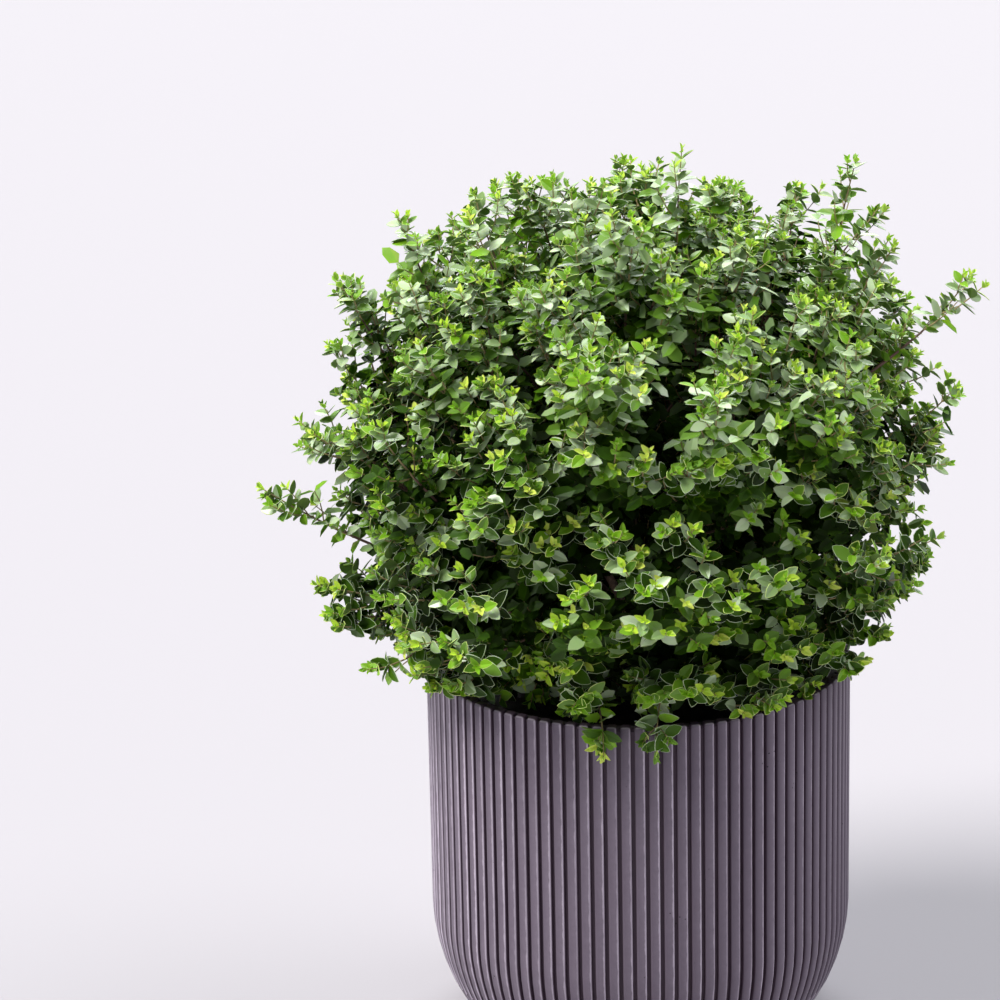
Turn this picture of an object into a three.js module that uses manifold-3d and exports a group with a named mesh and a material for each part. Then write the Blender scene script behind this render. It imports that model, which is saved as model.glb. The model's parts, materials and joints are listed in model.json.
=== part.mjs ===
// A box honeysuckle in a ribbed pot, in millimetres, +Z up.
// The origin is the middle of the pot's flat underside, and -Y is the front.
import * as THREE from "three";
import { mergeVertices } from "three/addons/utils/BufferGeometryUtils.js";
import Module from "manifold-3d";

const wasm = await Module();
wasm.setup();

// Pot: a straight ribbed wall that curves in to a smaller flat base.
const POT_DIAMETER = 350;
const POT_HEIGHT = 315;
const BASE_RADIUS = 122;
const CURVE_HEIGHT = 100;
const CURVE_POWER = 1.76;
const CURVE_STEPS = 4;
const WALL_THICKNESS = 14;
const FLOOR_THICKNESS = 18;
const RIB_COUNT = 98;
const GROOVE_SHARE = 0.27;
const GROOVE_DEPTH = 2.8;
const RIM_CHAMFER = 5;
const LEDGE_STEP = 1.2;
const INSIDE_SIDES = 36;
const INSIDE_CORNER = 8;
const COLUMNS_PER_RIB = 3;
const CUT_MARGIN = 1;

// Compost: it fills the pot to a little below the rim.
const FIT = 0.4;
const COMPOST_BELOW_RIM = 31;
const COMPOST_CROWNING = 5;
const COMPOST_SHOULDER_SHARE = 0.7;

// Stem: short and flared, with a rounded head that the boughs leave.
const TOUCH = 0.3;
const STEM_HEAD_HEIGHT = 335;
const STEM_HEAD_RADIUS = 15;
const STEM_WAIST_RADIUS = 11;
const STEM_FOOT_RADIUS = 21;
const STEM_NECK_BELOW_HEAD = 12;
const STEM_FLARE_SHARE = 0.35;
const STEM_HEAD_FROM = -25;
const STEM_HEAD_STEPS = 5;
const STEM_SIDES = 10;

// Boughs: one tapering, slightly bent limb to each mass of foliage.
const BOUGH_FOOT_RADIUS = 4.4;
const BOUGH_TIP_RADIUS = 2.8;
const BOUGH_SIDES = 5;
const BOUGH_STEPS = 4;
const BOUGH_BEND = 2.5;

// Crown: a rounded dome whose widest place is below its middle.
const CROWN_RADIUS = 254;
const CROWN_WIDEST_HEIGHT = 470;
const CROWN_TOP = 708;
const CROWN_BOTTOM = 296;
const CROWN_TOP_POWER = 3.2;
const CROWN_BOTTOM_POWER = 3.2;
const CROWN_UNEVENNESS = 0.04;
const SWELL_LOBES = 3;
const SWELL_LOBE_TWIST = 7;
const SWELL_BUMPS = 5;
const SWELL_BUMP_TWIST = 4;
const REACH_HALVINGS = 24;

// Masses of foliage: a low ring, a high ring and one at the top, on axes that fan out from the stem's head.
const LOW_ELEVATION = 14;
const LOW_ENTRY = 84;
const HIGH_ELEVATION = 52;
const HIGH_ENTRY = 118;
const TOP_BEARING = 200;
const TOP_ELEVATION = 88;
const TOP_ENTRY = 135;
const AXIS_WOBBLE = 5;
const MASS_GAP = 0.6;
const HEART_REACH = 0.62;
const HEART_ABOVE_CORE_FOOT = 20;
const CORE_REACH = 0.85;
const CORE_ROUGHNESS = 0.12;
const CORE_INSET = 2;
const CORE_START = 14;
const CORE_DETAIL = 2;
const CORE_HALVINGS = 16;
const CORE_LOWEST = POT_HEIGHT + 5;
const RIM_CLEARANCE = 3;

// Shoots and leaves, larger than life and fewer than on the real shrub.
const SHOOT_COUNT = 80;
const SHOOT_FOOT_RADIUS = 2;
const SHOOT_TIP_RADIUS = 1.4;
const SHOOT_SIDES = 3;
const SHOOT_REACH_LEAST = 0.93;
const SHOOT_REACH_MOST = 1.02;
const LEAF_LENGTH = 46;
const TIP_LEAF_LENGTH = 36;
const LEAF_LENGTH_SPREAD = 0.12;
const LEAF_WIDTH_SHARE = 0.62;
const LEAF_THICKNESS = 1.8;
const LEAF_WIDEST_AT = 0.45;
const LEAF_ROOT_FROM_AXIS = 0.2;
const LEAF_LEAN = 74;
const TIP_LEAF_LEAN = 44;
const PAIR_SPACING = 24;
const TIP_PAIR_SETBACK = 1;
const PAIRS_ON_A_SHOOT = 2;
const PAIRS_ON_A_LONG_SHOOT = 3;
const TURNS_TRIED = 6;
const LEAF_SPACING = 24;

// The long shoots that stand out of the crown: bearing and elevation seen from the stem's head, and reach.
const LONG_SHOOTS = [
  { bearing: 188, elevation: 25, reach: 338 },
  { bearing: 175, elevation: 33, reach: 328 },
  { bearing: 187, elevation: 12, reach: 269 },
  { bearing: 203, elevation: 1, reach: 240 },
  { bearing: 260, elevation: -10, reach: 202 },
  { bearing: 272, elevation: -10, reach: 200 },
  { bearing: 175, elevation: 52, reach: 380 },
  { bearing: 180, elevation: 62, reach: 402 },
  { bearing: 333, elevation: 84, reach: 410 },
  { bearing: 353, elevation: 66, reach: 435 },
  { bearing: 0, elevation: 58, reach: 386 },
  { bearing: 357, elevation: 48, reach: 404 },
  { bearing: 62, elevation: 48, reach: 385 },
  { bearing: 118, elevation: 30, reach: 318 },
  { bearing: 30, elevation: 16, reach: 300 },
];

const SEED = 20817;
const GRID = 0.001;
const CORNER_MERGE = 0.0001;
const RANDOM_STEPS = 2 ** 32;

const COLOURS = {
  pot: { color: 0x776b79, roughness: 0.8, metalness: 0 },
  compost: { color: 0x2e241c, roughness: 1, metalness: 0 },
  bark: { color: 0x5e463a, roughness: 0.85, metalness: 0 },
  leaves: { color: 0x47572f, roughness: 0.5, metalness: 0 },
};

const UP = new THREE.Vector3(0, 0, 1);
const OFF_EVERY_SHOOT = new THREE.Vector3(1, 0.3, 0.2);
const POT_RADIUS = POT_DIAMETER / 2;
const STEM_HEAD = new THREE.Vector3(0, 0, STEM_HEAD_HEIGHT);
const COMPOST_TOP = POT_HEIGHT - COMPOST_BELOW_RIM;
const CROWN_MIDDLE = new THREE.Vector3(0, 0, CROWN_WIDEST_HEIGHT);

// A repeatable stream of numbers from 0 to 1.
function randomStream(seed) {
  let state = seed >>> 0;
  return () => {
    state = (state + 0x6d2b79f5) >>> 0;
    let mixed = Math.imul(state ^ (state >>> 15), 1 | state);
    mixed = (mixed + Math.imul(mixed ^ (mixed >>> 7), 61 | mixed)) ^ mixed;
    return ((mixed ^ (mixed >>> 14)) >>> 0) / RANDOM_STEPS;
  };
}

// The same surface with shared corners merged on a fine grid. Collapsed triangles are dropped,
// and so is a pair that lies back to back.
function weld(geometry) {
  const bare = new THREE.BufferGeometry();
  bare.setAttribute("position", geometry.attributes.position.clone());
  bare.setIndex(geometry.index);
  const places = bare.attributes.position.array;
  places.forEach((value, i) => (places[i] = Math.round(value / GRID) * GRID));
  const merged = mergeVertices(bare, GRID / 2);
  const corners = merged.index.array;
  const kept = new Map();
  for (let i = 0; i < corners.length; i += 3) {
    const triangle = [corners[i], corners[i + 1], corners[i + 2]];
    if (new Set(triangle).size < 3) continue;
    const key = [...triangle].sort((a, b) => a - b).join();
    if (!kept.delete(key)) kept.set(key, triangle);
  }
  return merged.setIndex([...kept.values()].flat());
}

// The closed solid of a three.js geometry, in the library that joins and cuts.
function solidOf(geometry) {
  const welded = weld(geometry);
  return new wasm.Manifold(
    new wasm.Mesh({
      numProp: 3,
      vertProperties: new Float32Array(welded.attributes.position.array),
      triVerts: new Uint32Array(welded.index.array),
    }),
  );
}

// The geometry of a solid's largest body, which leaves out sealed hollows and loose scraps.
function geometryOf(solid) {
  const bodies = solid.decompose().sort((a, b) => b.volume() - a.volume());
  const mesh = bodies[0].getMesh();
  const geometry = new THREE.BufferGeometry();
  geometry.setAttribute("position", new THREE.BufferAttribute(mesh.vertProperties, 3));
  geometry.setIndex(new THREE.BufferAttribute(mesh.triVerts, 1));
  return weld(geometry);
}

function namedMesh(name, geometry, colour) {
  const flat = geometry.index ? geometry.toNonIndexed() : geometry;
  flat.computeVertexNormals();
  const mesh = new THREE.Mesh(flat, new THREE.MeshStandardMaterial(colour));
  mesh.name = name;
  return mesh;
}

// LatheGeometry turns about Y, and the object stands along Z.
function latheAboutZ(profile, sides) {
  return new THREE.LatheGeometry(profile, sides).rotateX(Math.PI / 2);
}

function directionOf(bearing, elevation) {
  const b = THREE.MathUtils.degToRad(bearing);
  const e = THREE.MathUtils.degToRad(elevation);
  return new THREE.Vector3(Math.cos(e) * Math.cos(b), Math.cos(e) * Math.sin(b), Math.sin(e));
}

// Pot

// The outside of the pot without its grooves, from the underside's edge up to the rim's flat ledge.
function potOutline() {
  const points = [];
  for (let i = 0; i <= CURVE_STEPS; i++) {
    const turn = (Math.PI / 2) * (1 - i / CURVE_STEPS);
    const out = Math.cos(turn) ** (2 / CURVE_POWER);
    const height = CURVE_HEIGHT * (1 - Math.sin(turn) ** (2 / CURVE_POWER));
    points.push(new THREE.Vector2(BASE_RADIUS + (POT_RADIUS - BASE_RADIUS) * out, height));
  }
  points.push(new THREE.Vector2(POT_RADIUS, POT_HEIGHT - RIM_CHAMFER));
  points.push(new THREE.Vector2(POT_RADIUS - RIM_CHAMFER, POT_HEIGHT));
  return points;
}

// The direction into the wall at each point of an outline.
function inwardNormals(points) {
  return points.map((point, i) => {
    const before = points[Math.max(i - 1, 0)];
    const after = points[Math.min(i + 1, points.length - 1)];
    return new THREE.Vector2(before.y - after.y, after.x - before.x).normalize();
  });
}

// Each rib takes three columns of the lathe: its two edges and the floor of the groove beside it.
// The underside's middle and edge and the ledge keep to the plain round.
function ribbedBody() {
  const outline = potOutline();
  const inward = inwardNormals(outline);
  const ledge = new THREE.Vector2(POT_RADIUS - RIM_CHAMFER - LEDGE_STEP, POT_HEIGHT);
  const profile = [
    new THREE.Vector2(0, 0),
    ...outline,
    ledge,
    new THREE.Vector2(0, POT_HEIGHT),
  ];
  const columns = RIB_COUNT * COLUMNS_PER_RIB;
  const body = new THREE.LatheGeometry(profile, columns);
  const position = body.attributes.position;
  const pitch = (2 * Math.PI) / RIB_COUNT;
  for (let column = 0; column <= columns; column++) {
    const rib = Math.floor(column / COLUMNS_PER_RIB);
    const place = column % COLUMNS_PER_RIB;
    const shareOfPitch = [GROOVE_SHARE / 2, 1 - GROOVE_SHARE / 2, 1][place];
    const angle = (rib + shareOfPitch) * pitch;
    for (let row = 0; row < profile.length; row++) {
      const onWall = row > 1 && row <= outline.length;
      const point = profile[row].clone();
      const inGroove = place === COLUMNS_PER_RIB - 1;
      if (inGroove && onWall) point.addScaledVector(inward[row - 1], GROOVE_DEPTH);
      const index = column * profile.length + row;
      position.setXYZ(index, point.x * Math.sin(angle), point.y, point.x * Math.cos(angle));
    }
  }
  return body.rotateX(Math.PI / 2);
}

// The inside wall runs WALL_THICKNESS within the outside one.
function insideProfile(gap) {
  const floor = FLOOR_THICKNESS + gap;
  const points = potOutline()
    .slice(0, -1)
    .filter((point) => point.y > floor + CUT_MARGIN)
    .map((point) => new THREE.Vector2(point.x - WALL_THICKNESS - gap, point.y));
  const corner = new THREE.Vector2(points[0].x - INSIDE_CORNER, floor);
  return [new THREE.Vector2(0, floor), corner, ...points];
}

function potGeometry() {
  const inside = insideProfile(0);
  const last = inside[inside.length - 1];
  last.y = POT_HEIGHT + CUT_MARGIN;
  inside.push(new THREE.Vector2(0, last.y));
  const cavity = solidOf(latheAboutZ(inside, INSIDE_SIDES));
  return geometryOf(solidOf(ribbedBody()).subtract(cavity));
}

function compostGeometry() {
  const profile = insideProfile(FIT);
  const edge = profile[profile.length - 1];
  edge.y = COMPOST_TOP;
  const shoulder = COMPOST_TOP + COMPOST_CROWNING * COMPOST_SHOULDER_SHARE;
  const crown = COMPOST_TOP + COMPOST_CROWNING;
  profile.push(new THREE.Vector2(edge.x / 2, shoulder));
  profile.push(new THREE.Vector2(STEM_FOOT_RADIUS, crown));
  profile.push(new THREE.Vector2(0, crown));
  return latheAboutZ(profile, INSIDE_SIDES);
}

// Stem and boughs

function stemGeometry() {
  const foot = COMPOST_TOP + COMPOST_CROWNING + TOUCH;
  const neck = STEM_HEAD_HEIGHT - STEM_NECK_BELOW_HEAD;
  const flareEnd = foot + (neck - foot) * STEM_FLARE_SHARE;
  const profile = [
    new THREE.Vector2(0, foot),
    new THREE.Vector2(STEM_FOOT_RADIUS, foot),
    new THREE.Vector2((STEM_FOOT_RADIUS + STEM_WAIST_RADIUS) / 2, flareEnd),
    new THREE.Vector2(STEM_WAIST_RADIUS, neck),
  ];
  for (let i = 0; i < STEM_HEAD_STEPS; i++) {
    const elevation = THREE.MathUtils.degToRad(
      STEM_HEAD_FROM + ((90 - STEM_HEAD_FROM) * i) / STEM_HEAD_STEPS,
    );
    const radius = STEM_HEAD_RADIUS * Math.cos(elevation);
    profile.push(new THREE.Vector2(radius, STEM_HEAD_HEIGHT + STEM_HEAD_RADIUS * Math.sin(elevation)));
  }
  profile.push(new THREE.Vector2(0, STEM_HEAD_HEIGHT + STEM_HEAD_RADIUS));
  return latheAboutZ(profile, STEM_SIDES);
}

// A straight limb of few sides from one point to another, with flat ends square to it.
function limbGeometry(from, to, footRadius, tipRadius, sides, steps = 1) {
  const along = new THREE.Vector3().subVectors(to, from);
  return new THREE.CylinderGeometry(tipRadius, footRadius, along.length(), sides, steps)
    .rotateX(Math.PI / 2)
    .applyQuaternion(new THREE.Quaternion().setFromUnitVectors(UP, along.clone().normalize()))
    .translate(...from.clone().addScaledVector(along, 0.5));
}

function boughGeometry(mass, random) {
  const from = STEM_HEAD.clone().addScaledVector(mass.axis, STEM_HEAD_RADIUS + TOUCH);
  const to = STEM_HEAD.clone().addScaledVector(mass.axis, mass.entry);
  const limb = limbGeometry(from, to, BOUGH_FOOT_RADIUS, BOUGH_TIP_RADIUS, BOUGH_SIDES, BOUGH_STEPS);
  const sideways = new THREE.Vector3(random() - 0.5, random() - 0.5, random() - 0.5);
  sideways.cross(mass.axis).normalize();
  const position = limb.attributes.position;
  const point = new THREE.Vector3();
  for (let i = 0; i < position.count; i++) {
    point.fromBufferAttribute(position, i);
    const share = point.clone().sub(from).dot(mass.axis) / from.distanceTo(to);
    const bend = BOUGH_BEND * Math.sin(Math.PI * THREE.MathUtils.clamp(share, 0, 1)) ** 2;
    point.addScaledVector(sideways, bend);
    position.setXYZ(i, point.x, point.y, point.z);
  }
  return limb;
}

// Crown

// How far the crown reaches in a direction from a place on the pot's axis.
function crownReach(direction, from = STEM_HEAD) {
  let near = 0;
  let far = 2 * CROWN_RADIUS;
  for (let i = 0; i < REACH_HALVINGS; i++) {
    const middle = (near + far) / 2;
    const point = from.clone().addScaledVector(direction, middle);
    const rise = point.z - CROWN_WIDEST_HEIGHT;
    const half = rise > 0 ? CROWN_TOP - CROWN_WIDEST_HEIGHT : CROWN_WIDEST_HEIGHT - CROWN_BOTTOM;
    const power = rise > 0 ? CROWN_TOP_POWER : CROWN_BOTTOM_POWER;
    const across = Math.hypot(point.x, point.y) / CROWN_RADIUS;
    const inside = across ** power + (Math.abs(rise) / half) ** power < 1;
    if (inside) near = middle;
    else far = middle;
  }
  const bearing = Math.atan2(direction.y, direction.x);
  const lobes = Math.sin(SWELL_LOBES * bearing + SWELL_LOBE_TWIST * direction.z);
  const bumps = Math.cos(SWELL_BUMPS * bearing - SWELL_BUMP_TWIST * direction.z);
  return near * (1 + CROWN_UNEVENNESS * lobes * bumps);
}

function foliageMasses(random) {
  const sides = ["right", "back_right", "back", "back_left", "left", "front_left", "front", "front_right"];
  const turn = 360 / sides.length;
  const wobble = () => AXIS_WOBBLE * (2 * random() - 1);
  const masses = [];
  sides.forEach((side, i) => {
    const axis = directionOf(i * turn + wobble(), LOW_ELEVATION + wobble());
    masses.push({ name: `low_${side}`, axis, entry: LOW_ENTRY });
  });
  sides.forEach((side, i) => {
    if (!side.includes("_")) return;
    const axis = directionOf(i * turn + wobble(), HIGH_ELEVATION + wobble());
    masses.push({ name: `high_${side}`, axis, entry: HIGH_ENTRY });
  });
  masses.push({ name: "top", axis: directionOf(TOP_BEARING, TOP_ELEVATION), entry: TOP_ENTRY });
  for (const mass of masses) {
    mass.walls = masses
      .filter((other) => other !== mass)
      .map((other) => new THREE.Vector3().subVectors(other.axis, mass.axis).normalize());
  }
  return masses;
}

// How far along the mass's axis a point lies, from the stem's head.
function distanceAlong(mass, point) {
  return new THREE.Vector3().subVectors(point, STEM_HEAD).dot(mass.axis);
}

// How far a point lies inside the mass's own space, between the planes halfway to its neighbours.
function depthInSpace(mass, point) {
  const fromHead = new THREE.Vector3().subVectors(point, STEM_HEAD);
  let least = distanceAlong(mass, point) - mass.entry - TOUCH;
  for (const wall of mass.walls) least = Math.min(least, -fromHead.dot(wall) - MASS_GAP / 2);
  return least;
}

function clearOfPot(point) {
  const across = Math.hypot(point.x, point.y);
  const overRim = point.z > POT_HEIGHT + RIM_CLEARANCE;
  return overRim || across > POT_RADIUS + RIM_CLEARANCE;
}

// The dense heart of a mass: a ball pushed out to the walls of its space and to a share of the crown's reach.
function coreGeometry(mass, random) {
  const heart = mass.heart;
  const ball = mergeVertices(
    new THREE.IcosahedronGeometry(1, CORE_DETAIL).deleteAttribute("normal").deleteAttribute("uv"),
    CORNER_MERGE,
  );
  const position = ball.attributes.position;
  const fits = (point) => {
    const fromHead = new THREE.Vector3().subVectors(point, STEM_HEAD);
    const distance = fromHead.length();
    const inCrown = distance < CORE_REACH * crownReach(fromHead.divideScalar(distance));
    const started = distanceAlong(mass, point) > mass.entry + CORE_START;
    return inCrown && started && point.z > CORE_LOWEST && depthInSpace(mass, point) > CORE_INSET;
  };
  for (let i = 0; i < position.count; i++) {
    const way = new THREE.Vector3().fromBufferAttribute(position, i).normalize();
    let near = 0;
    let far = CROWN_RADIUS;
    for (let step = 0; step < CORE_HALVINGS; step++) {
      const middle = (near + far) / 2;
      if (fits(heart.clone().addScaledVector(way, middle))) near = middle;
      else far = middle;
    }
    const point = heart.clone().addScaledVector(way, near * (1 - CORE_ROUGHNESS * random()));
    position.setXYZ(i, point.x, point.y, point.z);
  }
  return ball;
}

// A leaf is a flat eight-faced blade, widest before its middle, from a root on the shoot to its tip.
function leafGeometry(root, way, side, length) {
  const leaf = new THREE.OctahedronGeometry(1, 0);
  const position = leaf.attributes.position;
  const face = new THREE.Vector3().crossVectors(way, side);
  for (let i = 0; i < position.count; i++) {
    const corner = new THREE.Vector3().fromBufferAttribute(position, i);
    const along = corner.x === 0 ? LEAF_WIDEST_AT : (corner.x + 1) / 2;
    const point = root
      .clone()
      .addScaledVector(way, along * length)
      .addScaledVector(side, (corner.y * length * LEAF_WIDTH_SHARE) / 2)
      .addScaledVector(face, (corner.z * LEAF_THICKNESS) / 2);
    position.setXYZ(i, point.x, point.y, point.z);
  }
  return leaf;
}

function middleOf(leaf) {
  const position = leaf.attributes.position;
  const middle = new THREE.Vector3();
  for (let i = 0; i < position.count; i++) {
    middle.add(new THREE.Vector3().fromBufferAttribute(position, i));
  }
  return middle.divideScalar(position.count);
}

function standsApart(mass, leaf) {
  const middle = middleOf(leaf);
  return mass.leafMiddles.every((other) => other.distanceTo(middle) > LEAF_SPACING);
}

function fitsMass(mass, geometry) {
  const position = geometry.attributes.position;
  const middle = new THREE.Vector3();
  for (let i = 0; i < position.count; i++) {
    const point = new THREE.Vector3().fromBufferAttribute(position, i);
    middle.addScaledVector(point, 1 / position.count);
    if (depthInSpace(mass, point) < 0 || !clearOfPot(point)) return false;
  }
  return clearOfPot(middle);
}

// Two leaves on opposite sides of a shoot, turned about it until both fit, or left out.
function leafPair(mass, at, along, turn, length, lean) {
  const across = OFF_EVERY_SHOOT.clone().cross(along).normalize();
  for (let i = 0; i < TURNS_TRIED; i++) {
    const out = across.clone().applyAxisAngle(along, turn + (i * Math.PI) / TURNS_TRIED);
    const pair = [out, out.clone().negate()].map((outward) => {
      const angle = THREE.MathUtils.degToRad(lean);
      const way = along.clone().multiplyScalar(Math.cos(angle)).addScaledVector(outward, Math.sin(angle));
      const side = new THREE.Vector3().crossVectors(along, outward).normalize();
      const root = at.clone().addScaledVector(outward, LEAF_ROOT_FROM_AXIS);
      return leafGeometry(root, way, side, length);
    });
    if (!pair.every((leaf) => fitsMass(mass, leaf) && standsApart(mass, leaf))) continue;
    mass.leafMiddles.push(...pair.map(middleOf));
    return pair;
  }
  return [];
}

// A shoot runs from the heart of its mass to a tip, with pairs of leaves crossed along its outer end.
function shootPieces(mass, leafTip, pairs, random) {
  const along = new THREE.Vector3().subVectors(leafTip, mass.heart).normalize();
  const tipLeafRise = TIP_LEAF_LENGTH * Math.cos(THREE.MathUtils.degToRad(TIP_LEAF_LEAN));
  const tip = leafTip.clone().addScaledVector(along, -tipLeafRise);
  const shoot = limbGeometry(mass.heart, tip, SHOOT_FOOT_RADIUS, SHOOT_TIP_RADIUS, SHOOT_SIDES);
  if (!fitsMass(mass, shoot)) return [];
  const pieces = [shoot];
  const turn = Math.PI * random();
  for (let i = 0; i < pairs; i++) {
    const at = tip.clone().addScaledVector(along, -i * PAIR_SPACING - TIP_PAIR_SETBACK);
    const young = i === 0;
    const size = 1 + LEAF_LENGTH_SPREAD * (2 * random() - 1);
    const length = (young ? TIP_LEAF_LENGTH : LEAF_LENGTH) * size;
    const lean = young ? TIP_LEAF_LEAN : LEAF_LEAN;
    pieces.push(...leafPair(mass, at, along, turn + (i * Math.PI) / 2, length, lean));
  }
  return pieces;
}

// Directions spread evenly over a ball, as the seeds of a sunflower are over its head.
function evenDirections(count) {
  const goldenTurn = Math.PI * (3 - Math.sqrt(5));
  return Array.from({ length: count }, (_, i) => {
    const z = 1 - (2 * i + 1) / count;
    const across = Math.sqrt(1 - z * z);
    return new THREE.Vector3(across * Math.cos(i * goldenTurn), across * Math.sin(i * goldenTurn), z);
  });
}

function foliageGeometry(mass, random) {
  mass.heart = STEM_HEAD.clone().addScaledVector(mass.axis, HEART_REACH * crownReach(mass.axis));
  mass.heart.z = Math.max(mass.heart.z, CORE_LOWEST + HEART_ABOVE_CORE_FOOT);
  mass.leafMiddles = [];
  const start = STEM_HEAD.clone().addScaledVector(mass.axis, mass.entry + TOUCH);
  let solid = solidOf(coreGeometry(mass, random));
  const pieces = [limbGeometry(start, mass.heart, BOUGH_TIP_RADIUS, BOUGH_TIP_RADIUS, BOUGH_SIDES)];
  for (const direction of evenDirections(SHOOT_COUNT)) {
    const share = SHOOT_REACH_LEAST + (SHOOT_REACH_MOST - SHOOT_REACH_LEAST) * random();
    const reach = crownReach(direction, CROWN_MIDDLE) * share;
    const tip = CROWN_MIDDLE.clone().addScaledVector(direction, reach);
    if (depthInSpace(mass, tip) < 0) continue;
    pieces.push(...shootPieces(mass, tip, PAIRS_ON_A_SHOOT, random));
  }
  for (const { bearing, elevation, reach } of LONG_SHOOTS) {
    const tip = STEM_HEAD.clone().addScaledVector(directionOf(bearing, elevation), reach);
    if (depthInSpace(mass, tip) < 0) continue;
    pieces.push(...shootPieces(mass, tip, PAIRS_ON_A_LONG_SHOOT, random));
  }
  for (const piece of pieces) solid = solid.add(solidOf(piece));
  return geometryOf(solid);
}

const plant = new THREE.Group();
plant.name = "potted_box_honeysuckle";
plant.add(namedMesh("pot", potGeometry(), COLOURS.pot));
plant.add(namedMesh("compost", compostGeometry(), COLOURS.compost));
plant.add(namedMesh("stem", stemGeometry(), COLOURS.bark));

const random = randomStream(SEED);
for (const mass of foliageMasses(random)) {
  plant.add(namedMesh(`bough_${mass.name}`, boughGeometry(mass, random), COLOURS.bark));
  plant.add(namedMesh(`foliage_${mass.name}`, foliageGeometry(mass, random), COLOURS.leaves));
}

export default plant;
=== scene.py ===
"""Looks of a garden shrub with small glossy leaves in a ribbed pot, dressed over its solids."""

import json
import math
import random

import bmesh
import bpy
import numpy as np
from mathutils import Matrix, Vector

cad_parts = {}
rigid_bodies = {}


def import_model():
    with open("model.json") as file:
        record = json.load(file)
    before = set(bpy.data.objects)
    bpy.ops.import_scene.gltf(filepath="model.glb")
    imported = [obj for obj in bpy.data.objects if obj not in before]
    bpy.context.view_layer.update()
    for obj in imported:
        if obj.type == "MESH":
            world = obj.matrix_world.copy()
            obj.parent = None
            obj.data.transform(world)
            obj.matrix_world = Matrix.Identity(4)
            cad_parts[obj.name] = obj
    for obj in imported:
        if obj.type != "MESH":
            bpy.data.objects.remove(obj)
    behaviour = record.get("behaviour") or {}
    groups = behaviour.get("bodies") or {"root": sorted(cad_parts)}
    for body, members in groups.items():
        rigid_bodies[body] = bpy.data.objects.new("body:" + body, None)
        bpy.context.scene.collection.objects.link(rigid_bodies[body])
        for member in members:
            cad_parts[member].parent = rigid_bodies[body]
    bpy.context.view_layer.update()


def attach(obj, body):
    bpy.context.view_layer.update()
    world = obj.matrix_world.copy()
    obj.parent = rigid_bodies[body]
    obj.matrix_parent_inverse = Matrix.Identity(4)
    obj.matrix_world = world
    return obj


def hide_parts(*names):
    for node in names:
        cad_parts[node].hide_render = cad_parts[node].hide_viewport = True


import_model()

MM = 0.001
UP = Vector((0, 0, 1))
GOLDEN_TURN = math.pi * (3 - math.sqrt(5))
QUARTER_TURN = math.pi / 2
OPPOSITE_TURNS = (0, math.pi)

# The source's random stream
STREAM_STEP = 0x6D2B79F5
STREAM_MASK = 0xFFFFFFFF

# The pot, as in the source
POT_RADIUS = 175 * MM
POT_HEIGHT = 315 * MM
BASE_RADIUS = 122 * MM
CURVE_HEIGHT = 100 * MM
CURVE_POWER = 1.76
CURVE_STEPS = 9
WALL_THICKNESS = 14 * MM
FLOOR_THICKNESS = 18 * MM
RIB_COUNT = 98
RIB_PITCH = 2 * math.pi / RIB_COUNT
GROOVE_SHARE = 0.27
GROOVE_TURN = RIB_PITCH * GROOVE_SHARE
HALF_RIB_TURN = (RIB_PITCH - GROOVE_TURN) / 2
GROOVE_DEPTH = 3.8 * MM
RIB_EDGE_ROUNDING = 1.1 * MM
RIB_EDGE_STEPS = 3
RIB_CROWNING = 0.5 * MM
HALF_RIB_STEPS = 2
RIM_ROUNDING = 2.2 * MM
RIM_STEPS = 3
RIB_TOP_LENGTH = 5 * MM
LEDGE_DROP = 2.6 * MM
LEDGE_SLOPE = 1 * MM
INNER_CORNER = 2 * MM
FOOT_WIDTH = 5 * MM
RIB_TOP_END = POT_RADIUS - RIM_ROUNDING - RIB_TOP_LENGTH
LEDGE_EDGE = RIB_TOP_END - LEDGE_SLOPE
RIDGE_START = RIB_TOP_END - LEDGE_SLOPE * 0.9
WALL_TOLERANCE = 1 * MM
POT_SMOOTHING = 40
MERGE_DISTANCE = 0.02 * MM

# The pot's finish. Colours are in the 0 to 255 steps of a screen, and places across a rib in shares of
# the ribs' spacing, from minus half of it to half.
HALF_SPACING = 0.5
CAST_COLOURS = ((122, 110, 125), (142, 130, 145))
CAST_SCALES = (9.0, 240.0)
CAST_SPECULAR = 0.3
CAST_ROUGHNESS = (0.48, 0.64)
CAST_GRAIN = 0.5
CAST_RELIEF = 0.35 * MM
CAST_RELIEF_STRENGTH = 0.6
# Painted shade: each rib's colour darkens towards one of its sides, as if less light fell there.
SHADED_SIDE_COLOUR = (106, 95, 109)
SHADED_SIDE_PLACES = (-0.3, 0.3)
# Painted highlight along the other edge of each rib, faded in places by streaks.
EDGE_HIGHLIGHT_COLOUR = (216, 204, 220)
EDGE_HIGHLIGHT_PLACES = (0.2, 0.28)
EDGE_HIGHLIGHT_DEPTHS = (0.95 * MM, 0.65 * MM)
EDGE_HIGHLIGHT_STREAKS = (0.34, 0.6)
FAINTEST_EDGE_HIGHLIGHT = 0.35
# Painted highlight on the ribs' tops at the rim.
RIB_TOP_HIGHLIGHT_COLOUR = (196, 186, 198)
RIB_TOP_DROPS = (1.6 * MM, 0.4 * MM)
RIB_TOP_HIGHLIGHT_SHARE = 0.7
# Painted shade in the grooves between the ribs.
GROOVE_SHADE_COLOUR = (90, 74, 88)
GROOVE_PLACES = (0.365, 0.42)
GROOVE_DEPTHS = (0.85 * MM, 1.5 * MM)
GROOVE_HEIGHTS = (14 * MM, 30 * MM)
EDGE_RAGGEDNESS = 0.035
NICK_STRETCH = (160.0, 160.0, 110.0)
STREAK_STRETCH = (60.0, 60.0, 3.0)
LEDGE_COLOUR = (98, 88, 98)
PIT_COLOUR = (58, 51, 56)
PIT_SCALE = 150.0
PIT_SIZE = 0.1

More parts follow.
